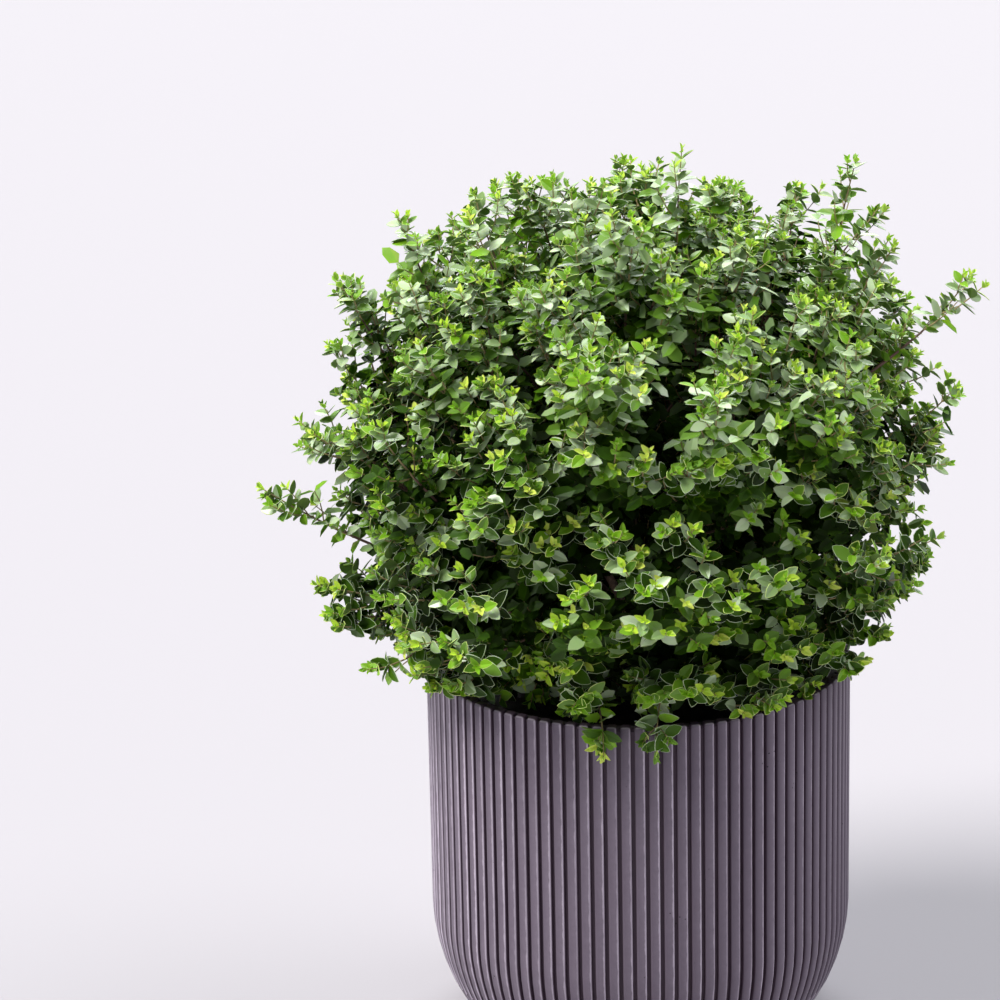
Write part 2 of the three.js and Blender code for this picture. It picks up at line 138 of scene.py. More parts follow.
# Shared effects
NOISE_RANGE = (0.3, 0.7)
STRONG_RELIEF = 0.9
MOTTLE_SHARES = (0.55, 0.45)
MOTTLE_RANGE = (0.36, 0.64)
PIT_PATCH_SCALE = 0.12
PIT_PATCHES = (0.45, 0.7)
LARGEST_PIT = 1.6
PIT_EDGE = 0.05

# The compost
COMPOST_EDGE_HEIGHT = 284 * MM
COMPOST_RADIUS = 160.6 * MM
COMPOST_DEPTH = 84 * MM
COMPOST_SIDES = 96
COMPOST_RINGS = 18
COMPOST_RING_WIDTH = 8.5 * MM
COMPOST_RING_RISE = 0.28 * MM
COMPOST_LUMP_SIZE = 11 * MM
COMPOST_LUMP_HEIGHT = 5 * MM
COMPOST_SMOOTHING = 50
COMPOST_COLOURS = ((24, 18, 14), (66, 50, 38))
COMPOST_SCALES = (55.0, 420.0)
COMPOST_ROUGHNESS = (0.75, 0.95)
COMPOST_RELIEF = 1.2 * MM
FIBRE_COLOUR = (104, 82, 58)
FIBRE_STRETCH = (900.0, 120.0, 500.0)
FIBRE_RANGE = (0.66, 0.74)
FIBRE_SHARE = 0.7

# The stem and the limbs, as in the source
STEM_HEAD = Vector((0, 0, 335 * MM))
STEM_HEAD_RADIUS = 15 * MM
STEM_HEAD_RINGS = (-20, 10, 40, 65, 82)
STEM_NECK_DROP = STEM_HEAD_RADIUS * 0.8
STEM_WAIST_RADIUS = 11 * MM
STEM_FOOT_RADIUS = 21 * MM
STEM_MIDDLE_RADIUS = (STEM_FOOT_RADIUS + STEM_WAIST_RADIUS) / 2.2
STEM_FOOT_DEPTH = 4 * MM
STEM_FLARE_HEIGHT = 5 * MM
STEM_FLARE_RADIUS = STEM_FOOT_RADIUS * 0.82
STEM_SIDES = 14
BOUGH_START_SHARE = 0.6
BOUGH_FOOT_RADIUS = 4.4 * MM
BOUGH_TIP_RADIUS = 2.8 * MM
BOUGH_BEND = 2.5 * MM
BOUGH_STEPS = 10
BOUGH_SIDES = 8

# The bark
BARK_RELIEF = 0.7 * MM
BARK_RIDGE_SIZE = 5 * MM
BARK_SMOOTHING = 60
BARK_COLOURS = ((58, 42, 34), (128, 104, 88))
BARK_SCALES = (70.0, 600.0)
BARK_ROUGHNESS = (0.7, 0.9)
BARK_STRIP_RELIEF = 0.8 * MM
BARK_STRETCH = (420.0, 420.0, 60.0)
CRACK_COLOUR = (36, 25, 20)
CRACK_RANGE = (0.42, 0.5)

# The crown, as in the source
SEED = 20817
CROWN_RADIUS = 254 * MM
CROWN_WIDEST_HEIGHT = 470 * MM
CROWN_TOP = 708 * MM
CROWN_BOTTOM = 296 * MM
CROWN_TOP_POWER = 3.2
CROWN_BOTTOM_POWER = 3.2
CROWN_UNEVENNESS = 0.04
CROWN_SWELLS = ((3, 7), (5, -4))
CROWN_MIDDLE = Vector((0, 0, CROWN_WIDEST_HEIGHT))
CROWN_HALVINGS = 24
SIDES = ("right", "back_right", "back", "back_left", "left", "front_left", "front", "front_right")
SIDE_BEARING = 45
LOW_ELEVATION = 14
LOW_ENTRY = 84 * MM
HIGH_ELEVATION = 52
HIGH_ENTRY = 118 * MM
TOP_BEARING = 200
TOP_ELEVATION = 88
TOP_ENTRY = 135 * MM
AXIS_WOBBLE = 5

# Long shoots that stand out of the crown: bearing, elevation and reach in millimetres from the stem's head
LONG_SHOOTS = (
    (188, 25, 338),
    (175, 33, 328),
    (187, 12, 269),
    (203, 1, 240),
    (260, -10, 202),
    (272, -10, 200),
    (175, 52, 380),
    (180, 62, 402),
    (333, 84, 410),
    (353, 66, 435),
    (0, 58, 386),
    (357, 48, 404),
    (62, 48, 385),
    (118, 30, 318),
    (30, 16, 300),
)

# More shoots, no longer than the crown, that fill its upper left: given in the same way
FILLING_SHOOTS = ((180, 71, 393), (164, 75, 392), (150, 71, 386), (203, 69, 397), (176, 78, 388))
LONG_SHOOT_STRETCH = 1.25
LONG_SHOOT_SHAKE = 0.05
LONG_SHOOT_RISE = 0.25
DROOP_SHARE = 0.6

# Limbs that fork from each bough
FORK_COUNT = 130
FORK_REACH = 0.54
FORK_REACH_CHANGE = (0.82, 1.1)
FORK_SHAKE = 0.06
FORK_START = 4 * MM
FORK_CLEARANCE = 12 * MM
FORK_FOOT_RADIUS = 1.7 * MM
FORK_TIP_RADIUS = 1.1 * MM
FORK_STEPS = 5
FORK_SIDES = 5
FORK_VIGOUR = (0.92, 1.03)
FORK_LEAF_PLACES = 9
FORK_SHOOT_LENGTHS = (24, 44)
FORK_LEAF_SCALE = 1.1

# Sprays on the limbs. TUFT_PULL, and below SIDE_SHOOT_CHANCE, INNER_SHOOT_CHANCE, LEAF_SCALE and
# SHEEN_SHARE, go from their first value at the crown's foot to their second at its top.
SPRAY_COUNT = 560
SPRAY_SHAKE = 0.04
SPRAY_REACH = (0.82, 1.02)
SPRAY_STEPS = 6
SPRAY_SIDES = 4
STRAY_SHARE = 0.08
STRAY_REACH = (1.01, 1.07)
STRAY_CEILING = 0.45
TUFT_PULL = (0.24, 0.13)
FOOT_SHARES = (0.6, 0.4)
FOOT_SHAKE = 0.08
TIP_RISE = 0.35
TIP_RISE_START = 0.3
TIP_RISE_GAIN = 2
LOWEST_TIP_RISE = -0.2
TIP_SHAKE = 0.22

# Shoots on the sides of each spray: leafy ones near its tip, and shaded ones further in
SIDE_SHOOT_PLACES = (19 * MM, 40 * MM)
SIDE_SHOOT_CHANCE = (0.48, 0.72)
SIDE_SHOOT_LENGTHS = (0.7, 1.15)
INNER_SHOOTS_FROM = 60 * MM
INNER_SHOOT_SPACING = 25 * MM
INNER_SHOOT_CHANCE = (0.45, 0.8)
INNER_SHOOT_LENGTHS = (26, 40)
SIDE_SHOOT_SPREAD = 46
SIDE_SPREAD_CHANGE = (-8, 10)
SIDE_TIP_SHARES = (0.7, 0.3, 0.12)
SIDE_TIP_SHAKE = 0.08
SIDE_WAY_SHARES = (0.35, 0.65, 0.2)
SIDE_WAY_SHAKE = 0.12
SIDE_SHOOT_STEPS = 3
SIDE_SHOOT_SIDES = 3
SIDE_SHOOT_STRETCH = 0.92
TWIG_TIP_RADIUS = 0.5 * MM
TWIG_THICKENING = 0.0075
YOUNG_WOOD = 46 * MM

# How far leaves and shoots keep from the pot's wall, on its outside and inside, and from the compost
WALL_CLEARANCE = 2 * MM
INNER_CLEARANCE = 3 * MM
COMPOST_CLEARANCE = 12 * MM

# Places of the leaf pairs in millimetres back from a shoot's tip, and the leaves' lengths and leans there
PAIR_PLACES = tuple(place * MM for place in (0.5, 3.5, 9, 17, 26, 36, 46, 57, 69, 82, 96))
PAIR_LENGTHS = tuple(length * MM for length in (7, 10.5, 15, 17.5, 18, 17, 17, 17, 17, 17, 17))
PAIR_LEANS = (28, 46, 60, 66, 70, 72, 74, 74, 74, 74, 74)
LEAN_CHANGE = 11
LEAFY_SHARE = 0.96
YOUNG_PAIRS = 2
ROSETTE_PAIRS = 4
OUTER_PAIRS = 6
PAIR_TURN_CHANGE = 0.25
FIRST_TURN_CHANGE = 0.35
UPRIGHT_FROM = 0.75
UPRIGHT_LIMIT = 0.05
LEVELLING = 0.7

# Leaves: sizes in shares of their length, folds in degrees
LEAF_SCALE = (1.0, 0.8)
LEAF_LENGTHS = (0.8, 1.12)
LEAF_WIDTH_SHARE = 0.66
LEAF_WIDTHS = (0.84, 1.12)
WIDTH_BY_AGE = {"young": 0.86, "mature": 1}
FOLD_BY_AGE = {"young": (14, 34), "mature": (4, 24)}
CURL_BY_AGE = {"young": (0.0, 0.1), "mature": (-0.04, 0.2)}
LEAF_WIDEST_AT = 0.41
LEAF_TIP_POWER = 0.8
LEAF_THICKNESS = 0.4 * MM
LEAF_CHECKS = (0.3, 0.7, 1)
UPPER, MARGIN, UNDER = 0, 1, 2
MARGIN_SHARE = 0.05
MARGIN_AT_ENDS = 0.7
MARGIN_AT_SIDES = 1.6
BORDERED_SHARE = 0.8
ALONG_SHAKE = 0.09
FACE_SHAKE = 0.26
LIGHT_TURN = 0.34
LIGHT_SHARES = (0.75, 0.55)
LEAF_SMOOTHING = 15

# Finishes of the leaves and the twigs: colour, roughness and specular level, numbered in this order
LEAF_FINISHES = {
    "deep": ((48, 80, 9), 0.42, 0.15),
    "middling": ((69, 107, 14), 0.38, 0.26),
    "pale_green": ((106, 148, 42), 0.36, 0.45),
    # grey_green is partly the leaves' own grey-green and partly painted sheen.
    "grey_green": ((150, 180, 116), 0.32, 0.9),
    # sheen is a painted sheen: the sky's pale reflection on a leaf's face, given as its base colour.
    "sheen": ((190, 211, 166), 0.38, 0.4),
    "olive": ((100, 118, 38), 0.4, 0.45),
    "fresh": ((130, 181, 34), 0.42, 0.35),
    "young": ((186, 220, 62), 0.45, 0.35),
    "sunny": ((214, 234, 100), 0.45, 0.35),
    "margin": ((188, 206, 166), 0.5, 0.4),
    "young_margin": ((208, 228, 132), 0.5, 0.4),
    "underside": ((108, 134, 68), 0.6, 0.25),
    "young_underside": ((174, 206, 86), 0.55, 0.25),
    "shaded": ((32, 50, 12), 0.5, 0.1),
}
LEAF_NUMBERS = {name: number for number, name in enumerate(LEAF_FINISHES)}
LEAF_GLOW = 0.4
LEAF_GLOW_REACH = (0.7, 1.0, 0.25)
TWIG_FINISHES = {"old_wood": ((122, 94, 86), 0.7, 0.3), "young_wood": ((172, 150, 112), 0.6, 0.3)}

# Greens of the leaves, by the share of the crown's height up to which they go. Collar leaves sit just
# behind the young tips, backing ones behind those, and inner ones deepest. Weights are for the old greens.
# The darker greens of backing, inner and low leaves are partly the older leaves' own colour and partly
# painted shade; the paler greens towards the top are painted light and painted sheen.
OLD_GREENS = ("deep", "middling", "pale_green", "grey_green", "olive")
GREENS_UP_TO = {
    0.3: {
        "weights": (7, 6, 2, 1, 1),
        "odd": ("deep", "middling", "pale_green", "grey_green"),
        "collar": ("fresh", "middling", "pale_green"),
        "backing": ("shaded", "shaded", "deep"),
        "inner": ("deep", "shaded", "shaded"),
    },
    0.5: {
        "weights": (6, 7, 3, 2, 1),
        "odd": ("deep", "pale_green", "grey_green", "sheen"),
        "collar": ("fresh", "middling", "grey_green"),
        "backing": ("shaded", "shaded", "deep", "middling"),
        "inner": ("deep", "shaded", "shaded"),
    },
    0.7: {
        "weights": (4, 7, 4, 3, 0),
        "odd": ("pale_green", "pale_green", "grey_green", "sheen"),
        "collar": ("fresh", "pale_green", "grey_green"),
        "backing": ("shaded", "deep", "middling", "pale_green"),
        "inner": ("shaded", "deep", "deep"),
    },
    math.inf: {
        "weights": (0, 3, 6, 5, 0),
        "odd": ("pale_green", "grey_green", "sheen", "sheen"),
        "collar": ("fresh", "pale_green", "sheen"),
        "backing": ("pale_green", "pale_green", "grey_green", "sheen"),
        "inner": ("middling", "pale_green", "grey_green"),
    },
}
ODD_SHARE = 0.35
INNER_UNDERSIDE = "shaded"
# Painted light: the long shoots that stand out of the crown get paler greens and paler undersides.
EXPOSED_GREENS = ("fresh", "pale_green", "grey_green", "sheen")
EXPOSED_UNDERSIDE = "pale_green"
LIME_GREENS = ("young", "young", "sunny")
QUIET_GREENS = ("fresh", "pale_green")
SIDE_GREENS = ("fresh", "middling")
LIME_SHARE = 0.8
SIDE_LIME_SHARE = 0.3
# Share of leaves given the painted sheen green, more of them towards the crown's top.
SHEEN_SHARE = (0.03, 0.19)

# Camera, floor and light, for a picture of 1000 by 1000 pixels
CAMERA_PLACE = (-111.2 * MM, -3027 * MM, 1399 * MM)
CAMERA_DIP = 17.41
CAMERA_ROLL = -1.23
CAMERA_LENS = 139.86
SENSOR_WIDTH = 36
FLOOR_SIZE = 24
FLOOR_FINISH = ((172, 168, 173), 0.8, 0.15)
SKY_COLOUR = (0.88, 0.93, 1.0, 1)
SKY_STRENGTH = 0.25

# Broad lamps: the way to each, its spread in degrees, its strength and its colour
LAMPS = {
    "high_light": ((-0.6, -0.22, 1.0), 30, 3.8, (1.0, 0.99, 0.96)),
    "back_light": ((0.1, 1.0, 0.7), 50, 3.1, (0.95, 0.98, 1.0)),
    "right_light": ((0.8, 0.2, 1.0), 40, 1.3, (0.97, 0.99, 1.0)),
}


# Small helpers

def random_stream(seed):
    """The source's own stream of numbers from 0 to 1, with its shifts, so that both draw the same masses."""
    state = seed

    def draw():
        nonlocal state
        state = (state + STREAM_STEP) & STREAM_MASK
        mixed = ((state ^ (state >> 15)) * (1 | state)) & STREAM_MASK
        mixed = ((mixed + (((mixed ^ (mixed >> 7)) * (61 | mixed)) & STREAM_MASK)) & STREAM_MASK) ^ mixed
        return (mixed ^ (mixed >> 14)) / (STREAM_MASK + 1)

    return draw


def direction_of(bearing, elevation):
    """The unit vector at a bearing from +X towards +Y and an elevation, both in degrees."""
    b, e = math.radians(bearing), math.radians(elevation)
    return Vector((math.cos(e) * math.cos(b), math.cos(e) * math.sin(b), math.sin(e)))


def between(value, low, high):
    return min(max(value, low), high)


def blend(ends, share):
    """The number that lies a share of the way from the first end to the second."""
    return ends[0] + (ends[1] - ends[0]) * between(share, 0, 1)


def weighed(shares, ways):
    """The ways added up, each times its share."""
    return sum((way * share for way, share in zip(ways, shares)), Vector())


def even_directions(count):
    """Directions spread evenly over a ball, as the seeds of a sunflower are over its head."""
    directions = []
    for i in range(count):
        z = 1 - (2 * i + 1) / count
        across = math.sqrt(1 - z * z)
        turn = i * GOLDEN_TURN
        directions.append(Vector((across * math.cos(turn), across * math.sin(turn), z)))
    return directions


def clear_selection():
    if bpy.context.mode != "OBJECT":
        bpy.ops.object.mode_set(mode="OBJECT")
    bpy.ops.object.select_all(action="DESELECT")


def make_active(piece):
    clear_selection()
    piece.select_set(True)
    bpy.context.view_layer.objects.active = piece


def start_editing():
    """Goes to edit mode with all of the active piece selected."""
    bpy.ops.object.mode_set(mode="EDIT")
    bpy.ops.mesh.select_all(action="SELECT")


def place_primitive():
    """The primitive just added, with its place and turn kept in its mesh."""
    bpy.ops.object.transform_apply(location=True, rotation=True, scale=True)
    return bpy.context.object


def select_parts(piece, kind, rule):
    """In edit mode, selects the vertices or faces whose middle passes the rule."""
    bpy.ops.mesh.select_mode(type=kind)
    bpy.ops.mesh.select_all(action="DESELECT")
    shape = bmesh.from_edit_mesh(piece.data)
    if kind == "VERT":
        for vertex in shape.verts:
            vertex.select_set(rule(vertex.co))
    else:
        for face in shape.faces:
            face.select_set(rule(face.calc_center_median()))
    bmesh.update_edit_mesh(piece.data)


def apply_modifier(piece, kind, **settings):
    make_active(piece)
    bpy.ops.object.modifier_add(type=kind)
    modifier = piece.modifiers[-1]
    for name, value in settings.items():
        setattr(modifier, name, value)
    bpy.ops.object.modifier_apply(modifier=modifier.name)


def raise_lumps(piece, name, size, depth, height, **settings):
    """Roughens a piece's surface with cloudy lumps of a size, in as many finer steps as the depth says."""
    lumps = bpy.data.textures.new(name, type="CLOUDS")
    lumps.noise_scale = size
    lumps.noise_depth = depth
    apply_modifier(
        piece, "DISPLACE", texture=lumps, texture_coords="GLOBAL", strength=height, mid_level=0.5, **settings
    )


def close_and_turn_out(piece):
    """Merges doubled vertices and turns every face outwards."""
    make_active(piece)
    start_editing()
    bpy.ops.mesh.remove_doubles(threshold=MERGE_DISTANCE)
    bpy.ops.mesh.normals_make_consistent(inside=False)
    bpy.ops.object.mode_set(mode="OBJECT")


def new_object(name, data):
    made = bpy.data.objects.new(name, data)
    bpy.context.scene.collection.objects.link(made)
    return made


def dress(piece, finishes, smoothing):
    """Gives a piece its finishes, and smooths its faces up to an angle in degrees."""
    for finish in finishes:
        piece.data.materials.append(finish)
    make_active(piece)
    bpy.ops.object.shade_smooth_by_angle(angle=math.radians(smoothing))


def settle(piece, slot, *nodes):
    """Puts a finished piece on the one body, in place of its nodes."""
    make_active(piece)
    bpy.ops.object.transform_apply(location=True, rotation=True, scale=True)
    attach(piece, "root")
    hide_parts(*nodes)


# Colours and finishes

def linear(red, green, blue):
    """A colour given in the 0 to 255 steps of a screen, as Blender's linear light."""
    steps = (red / 255, green / 255, blue / 255)
    light = [s / 12.92 if s <= 0.04045 else ((s + 0.055) / 1.055) ** 2.4 for s in steps]
    return (*light, 1)


def new_material(name):
    """A material and its shader."""
    material = bpy.data.materials.new(name)
    material.use_nodes = True
    return material, material.node_tree.nodes["Principled BSDF"]


def plain_finish(name, colour, roughness, specular):
    material, shader = new_material(name)
    shader.inputs["Base Color"].default_value = linear(*colour)
    shader.inputs["Roughness"].default_value = roughness
    shader.inputs["Specular IOR Level"].default_value = specular
    return material


def let_light_through(finish):
    """A leaf glows a little where the light comes from behind it."""
    shader = finish.node_tree.nodes["Principled BSDF"]
    shader.inputs["Subsurface Weight"].default_value = LEAF_GLOW
    shader.inputs["Subsurface Scale"].default_value = LEAF_THICKNESS
    shader.inputs["Subsurface Radius"].default_value = LEAF_GLOW_REACH


class Wiring:
    """Adds nodes to a material or a group and joins them."""

    def __init__(self, tree):
        self.tree = tree

    def node(self, kind, settings=None, **inputs):
        node = self.tree.nodes.new(kind)
        for name, value in (settings or {}).items():
            setattr(node, name, value)
        for name, value in inputs.items():
            self.feed(node.inputs[name], value)
        return node

    def feed(self, socket, value):
        if isinstance(value, bpy.types.NodeSocket):
            self.tree.links.new(value, socket)
        else:
            socket.default_value = value

    def feed_all(self, sockets, values):
        for socket, value in zip(sockets, values):
            self.feed(socket, value)

    def group(self, tree, **inputs):
        return self.node("ShaderNodeGroup", {"node_tree": tree}, **inputs).outputs

    def math(self, operation, first, second=0.0, third=0.0):
        node = self.node("ShaderNodeMath", {"operation": operation})
        self.feed_all(node.inputs, (first, second, third))
        return node.outputs[0]

    def mix(self, share, first, second):
        """The first colour, with a share of it given over to the second."""
        node = self.node("ShaderNodeMix", {"data_type": "RGBA"})
        colour_sockets = [socket for socket in node.inputs if socket.type == "RGBA"]
        self.feed_all((node.inputs[0], *colour_sockets), (share, first, second))
        return next(socket for socket in node.outputs if socket.type == "RGBA")

    def fit(self, value, low, high, new_low=0.0, new_high=1.0, smoothly=False):
        """A value's range from low to high, stretched to the new range and held within it."""
        node = self.node("ShaderNodeMapRange", {"interpolation_type": "SMOOTHSTEP" if smoothly else "LINEAR"})
        self.feed_all(node.inputs, (value, low, high, new_low, new_high))
        return node.outputs[0]

    def length_of(self, vector):
        return self.node("ShaderNodeVectorMath", {"operation": "LENGTH"}, Vector=vector).outputs["Value"]

    def noise(self, place, scale, detail=4.0, roughness=0.55):
        node = self.node("ShaderNodeTexNoise", Vector=place, Scale=scale, Detail=detail, Roughness=roughness)
        return node.outputs[0]

    def stretched_noise(self, place, stretch, detail=4.0):
        return self.noise(self.node("ShaderNodeMapping", Vector=place, Scale=stretch).outputs[0], 1.0, detail)


def new_group(name, inputs, outputs):
    """A node group with named sockets: its tree, its wiring, what it is given and where its results go."""
    tree = bpy.data.node_groups.new(name, "ShaderNodeTree")
    for way, sockets in (("INPUT", inputs), ("OUTPUT", outputs)):
        for socket, kind in sockets.items():
            tree.interface.new_socket(socket, in_out=way, socket_type="NodeSocket" + kind)
    given = tree.nodes.new("NodeGroupInput").outputs
    results = tree.nodes.new("NodeGroupOutput").inputs
    return tree, Wiring(tree), given, results


def mottle_group():
    """Uneven colour at two scales, shared by the pot, the compost and the bark."""
    inputs = {"Place": "Vector", "Dark": "Color", "Light": "Color", "Broad": "Float", "Fine": "Float"}
    tree, wires, given, results = new_group("mottle", inputs, {"Colour": "Color", "Height": "Float"})
    broad = wires.noise(given["Place"], given["Broad"])
    fine = wires.noise(given["Place"], given["Fine"], detail=6.0, roughness=0.65)
    parts = [wires.math("MULTIPLY", part, share) for part, share in zip((broad, fine), MOTTLE_SHARES)]
    lightness = wires.fit(wires.math("ADD", *parts), *MOTTLE_RANGE)
    wires.feed(results["Colour"], wires.mix(lightness, given["Dark"], given["Light"]))
    wires.feed(results["Height"], fine)
    return tree


def pits_group():
    """Scattered small pits, as a mask of them."""
    inputs = {"Place": "Vector", "Scale": "Float", "Size": "Float"}
    tree, wires, given, results = new_group("pits", inputs, {"Mask": "Float"})
    cells = wires.node("ShaderNodeTexVoronoi", Vector=given["Place"], Scale=given["Scale"])
    patches = wires.noise(given["Place"], wires.math("MULTIPLY", given["Scale"], PIT_PATCH_SCALE))
    size = wires.math("MULTIPLY", given["Size"], wires.fit(patches, *PIT_PATCHES, 0.0, LARGEST_PIT))
    mask = wires.fit(wires.math("SUBTRACT", size, cells.outputs["Distance"]), 0.0, PIT_EDGE)
    wires.feed(results["Mask"], mask)
    return tree


def start_material(name):
    """A material, its wiring, its shader and the place on the piece."""
    material, shader = new_material(name)
    wires = Wiring(material.node_tree)
    return material, wires, shader, wires.node("ShaderNodeTexCoord").outputs["Object"]


def mottled(wires, mottle, place, scales, colours):
    """A surface's uneven colour and fine height, from its two scales and its dark and light colour."""
    dark, light = (linear(*colour) for colour in colours)
    return wires.group(mottle, Place=place, Broad=scales[0], Fine=scales[1], Dark=dark, Light=light)


def feed_shader(wires, shader, colour, roughness, height, distance, strength):
    """Feeds a shader its colour, its roughness and a relief from a height."""
    bump = wires.node("ShaderNodeBump", Height=height, Distance=distance, Strength=strength)
    for name, value in (("Base Color", colour), ("Roughness", roughness), ("Normal", bump.outputs[0])):
        wires.feed(shader.inputs[name], value)


def depth_behind_ribs(wires, height, out):
    """How far a point of the pot's wall lies behind the ribs' faces, which curve in near the base."""
    under = wires.fit(height, 0.0, CURVE_HEIGHT, 1.0, 0.0)
    left = wires.math("SUBTRACT", 1.0, wires.math("POWER", under, CURVE_POWER))
    curve = wires.math("POWER", left, 1 / CURVE_POWER)
    return wires.math("SUBTRACT", wires.fit(curve, 0.0, 1.0, BASE_RADIUS, POT_RADIUS), out)


def place_across_ribs(wires, place, axes):
    """Where a point lies across its rib, with a little raggedness, in shares of the ribs' spacing."""
    turn = wires.math("ARCTAN2", axes["Y"], axes["X"])
    ribs = wires.math("MULTIPLY", turn, RIB_COUNT / (2 * math.pi))
    nicks = wires.stretched_noise(place, NICK_STRETCH)
    ragged = wires.math("ADD", ribs, wires.fit(nicks, *NOISE_RANGE, -EDGE_RAGGEDNESS, EDGE_RAGGEDNESS))
    return wires.math("WRAP", ragged, HALF_SPACING, -HALF_SPACING)


def cast_pot_finish(mottle, pits):
    """Matt mauve-grey cast wall: painted shade on one side of each rib, painted highlights on its other edge
    and top, painted shade in the grooves, a darker ledge, a few pits.
    """
    material, wires, shader, place = start_material("cast_mauve_grey")
    shader.inputs["Specular IOR Level"].default_value = CAST_SPECULAR
    wall = mottled(wires, mottle, place, CAST_SCALES, CAST_COLOURS)
    axes = wires.node("ShaderNodeSeparateXYZ", Vector=place).outputs
    height = axes["Z"]
    out = wires.length_of(wires.node("ShaderNodeCombineXYZ", X=axes["X"], Y=axes["Y"]).outputs[0])
    depth = depth_behind_ribs(wires, height, out)
    across = place_across_ribs(wires, place, axes)
    streaks = wires.stretched_noise(place, STREAK_STRETCH, detail=5.0)

    # Painted highlight along one edge of each rib's face, faded in places by streaks.
    highlit_edge = wires.math("MULTIPLY", wires.fit(across, *EDGE_HIGHLIGHT_PLACES), wires.fit(depth, *EDGE_HIGHLIGHT_DEPTHS))
    edge_highlight = wires.math("MULTIPLY", highlit_edge, wires.fit(streaks, *EDGE_HIGHLIGHT_STREAKS, FAINTEST_EDGE_HIGHLIGHT, 1.0))
    # Painted highlight on the ribs' tops at the rim.
    rib_top_highlight = wires.fit(height, *(POT_HEIGHT - drop for drop in RIB_TOP_DROPS), 0.0, RIB_TOP_HIGHLIGHT_SHARE)

    # Painted shade in the grooves and on the wall sunk behind the ribs' faces.
    beside_rib = wires.fit(wires.math("ABSOLUTE", across), *GROOVE_PLACES, smoothly=True)
    sunk = wires.math("MULTIPLY", wires.fit(depth, *GROOVE_DEPTHS), wires.fit(height, *GROOVE_HEIGHTS))
    low = wires.math("LESS_THAN", height, CURVE_HEIGHT)
    ribbed = wires.math("MAXIMUM", wires.fit(out, LEDGE_EDGE, RIB_TOP_END), low)
    in_groove = wires.math("MULTIPLY", wires.math("MAXIMUM", beside_rib, sunk), ribbed)

    high = wires.math("GREATER_THAN", height, CURVE_HEIGHT)
    on_ledge = wires.math("MULTIPLY", wires.fit(out, LEDGE_EDGE, RIB_TOP_END, 1.0, 0.0), high)
    holes = wires.group(pits, Place=place, Scale=PIT_SCALE, Size=PIT_SIZE)["Mask"]

    # Layers over the wall's own colour: painted shade on one side of each rib, painted highlights on its edge
    # and top, painted shade in the grooves, then the darker ledge and the pits.
    colour = wall["Colour"]
    for mask, layer in (
        (wires.fit(across, *SHADED_SIDE_PLACES, 1.0, 0.0), SHADED_SIDE_COLOUR),
        (edge_highlight, EDGE_HIGHLIGHT_COLOUR),
        (rib_top_highlight, RIB_TOP_HIGHLIGHT_COLOUR),
        (in_groove, GROOVE_SHADE_COLOUR),
        (on_ledge, LEDGE_COLOUR),
        (holes, PIT_COLOUR),
    ):
        colour = wires.mix(mask, colour, linear(*layer))
    roughness = wires.fit(streaks, *NOISE_RANGE, *CAST_ROUGHNESS)
    grain = wires.math("SUBTRACT", wires.math("MULTIPLY", wall["Height"], CAST_GRAIN), holes)
    feed_shader(wires, shader, colour, roughness, grain, CAST_RELIEF, CAST_RELIEF_STRENGTH)
    return material


def compost_finish(mottle):
    """Damp dark compost with paler fibres."""
    material, wires, shader, place = start_material("damp_compost")
    soil = mottled(wires, mottle, place, COMPOST_SCALES, COMPOST_COLOURS)
    strands = wires.stretched_noise(place, FIBRE_STRETCH, detail=3.0)
    fibres = wires.fit(strands, *FIBRE_RANGE, 0.0, FIBRE_SHARE)
    colour = wires.mix(fibres, soil["Colour"], linear(*FIBRE_COLOUR))
    roughness = wires.fit(soil["Height"], *NOISE_RANGE, *COMPOST_ROUGHNESS)
    feed_shader(wires, shader, colour, roughness, soil["Height"], COMPOST_RELIEF, STRONG_RELIEF)
    return material


def bark_finish(mottle):
    """Thin grey-brown bark in fine flaking strips."""
    material, wires, shader, place = start_material("flaking_bark")
    bark = mottled(wires, mottle, place, BARK_SCALES, BARK_COLOURS)
    strips = wires.stretched_noise(place, BARK_STRETCH, detail=6.0)
    cracks = wires.fit(strips, *CRACK_RANGE, 1.0, 0.0)
    colour = wires.mix(cracks, bark["Colour"], linear(*CRACK_COLOUR))
    roughness = wires.fit(strips, *NOISE_RANGE, *BARK_ROUGHNESS)
    feed_shader(wires, shader, colour, roughness, strips, BARK_STRIP_RELIEF, STRONG_RELIEF)
    return material


# The pot

def pot_profile():
    """Radius and height round half the pot's section, from its underside's middle to its inner floor's."""
    curve = []
    for i in range(CURVE_STEPS + 1):
        turn = QUARTER_TURN * (1 - i / CURVE_STEPS)
        out = math.cos(turn) ** (2 / CURVE_POWER)
        rise = 1 - math.sin(turn) ** (2 / CURVE_POWER)
        curve.append((BASE_RADIUS + (POT_RADIUS - BASE_RADIUS) * out, CURVE_HEIGHT * rise))
    rim = []
    for i in range(RIM_STEPS + 1):
        turn = QUARTER_TURN * i / RIM_STEPS
        back = RIM_ROUNDING * (1 - math.cos(turn))
        rim.append((POT_RADIUS - back, POT_HEIGHT - RIM_ROUNDING * (1 - math.sin(turn))))
    ledge = POT_HEIGHT - LEDGE_DROP
    inner = POT_RADIUS - WALL_THICKNESS
    lip = [
        (RIB_TOP_END, POT_HEIGHT),
        (LEDGE_EDGE, ledge),
        (inner + INNER_CORNER, ledge),
        (inner + INNER_CORNER / 3, ledge - INNER_CORNER / 3),
        (inner, ledge - INNER_CORNER),
    ]
    inside = [(r - WALL_THICKNESS, z) for r, z in reversed(curve) if z > FLOOR_THICKNESS]
    return [(0, 0), (BASE_RADIUS - FOOT_WIDTH, 0), *curve, *rim, *lip, *inside, (0, FLOOR_THICKNESS)]


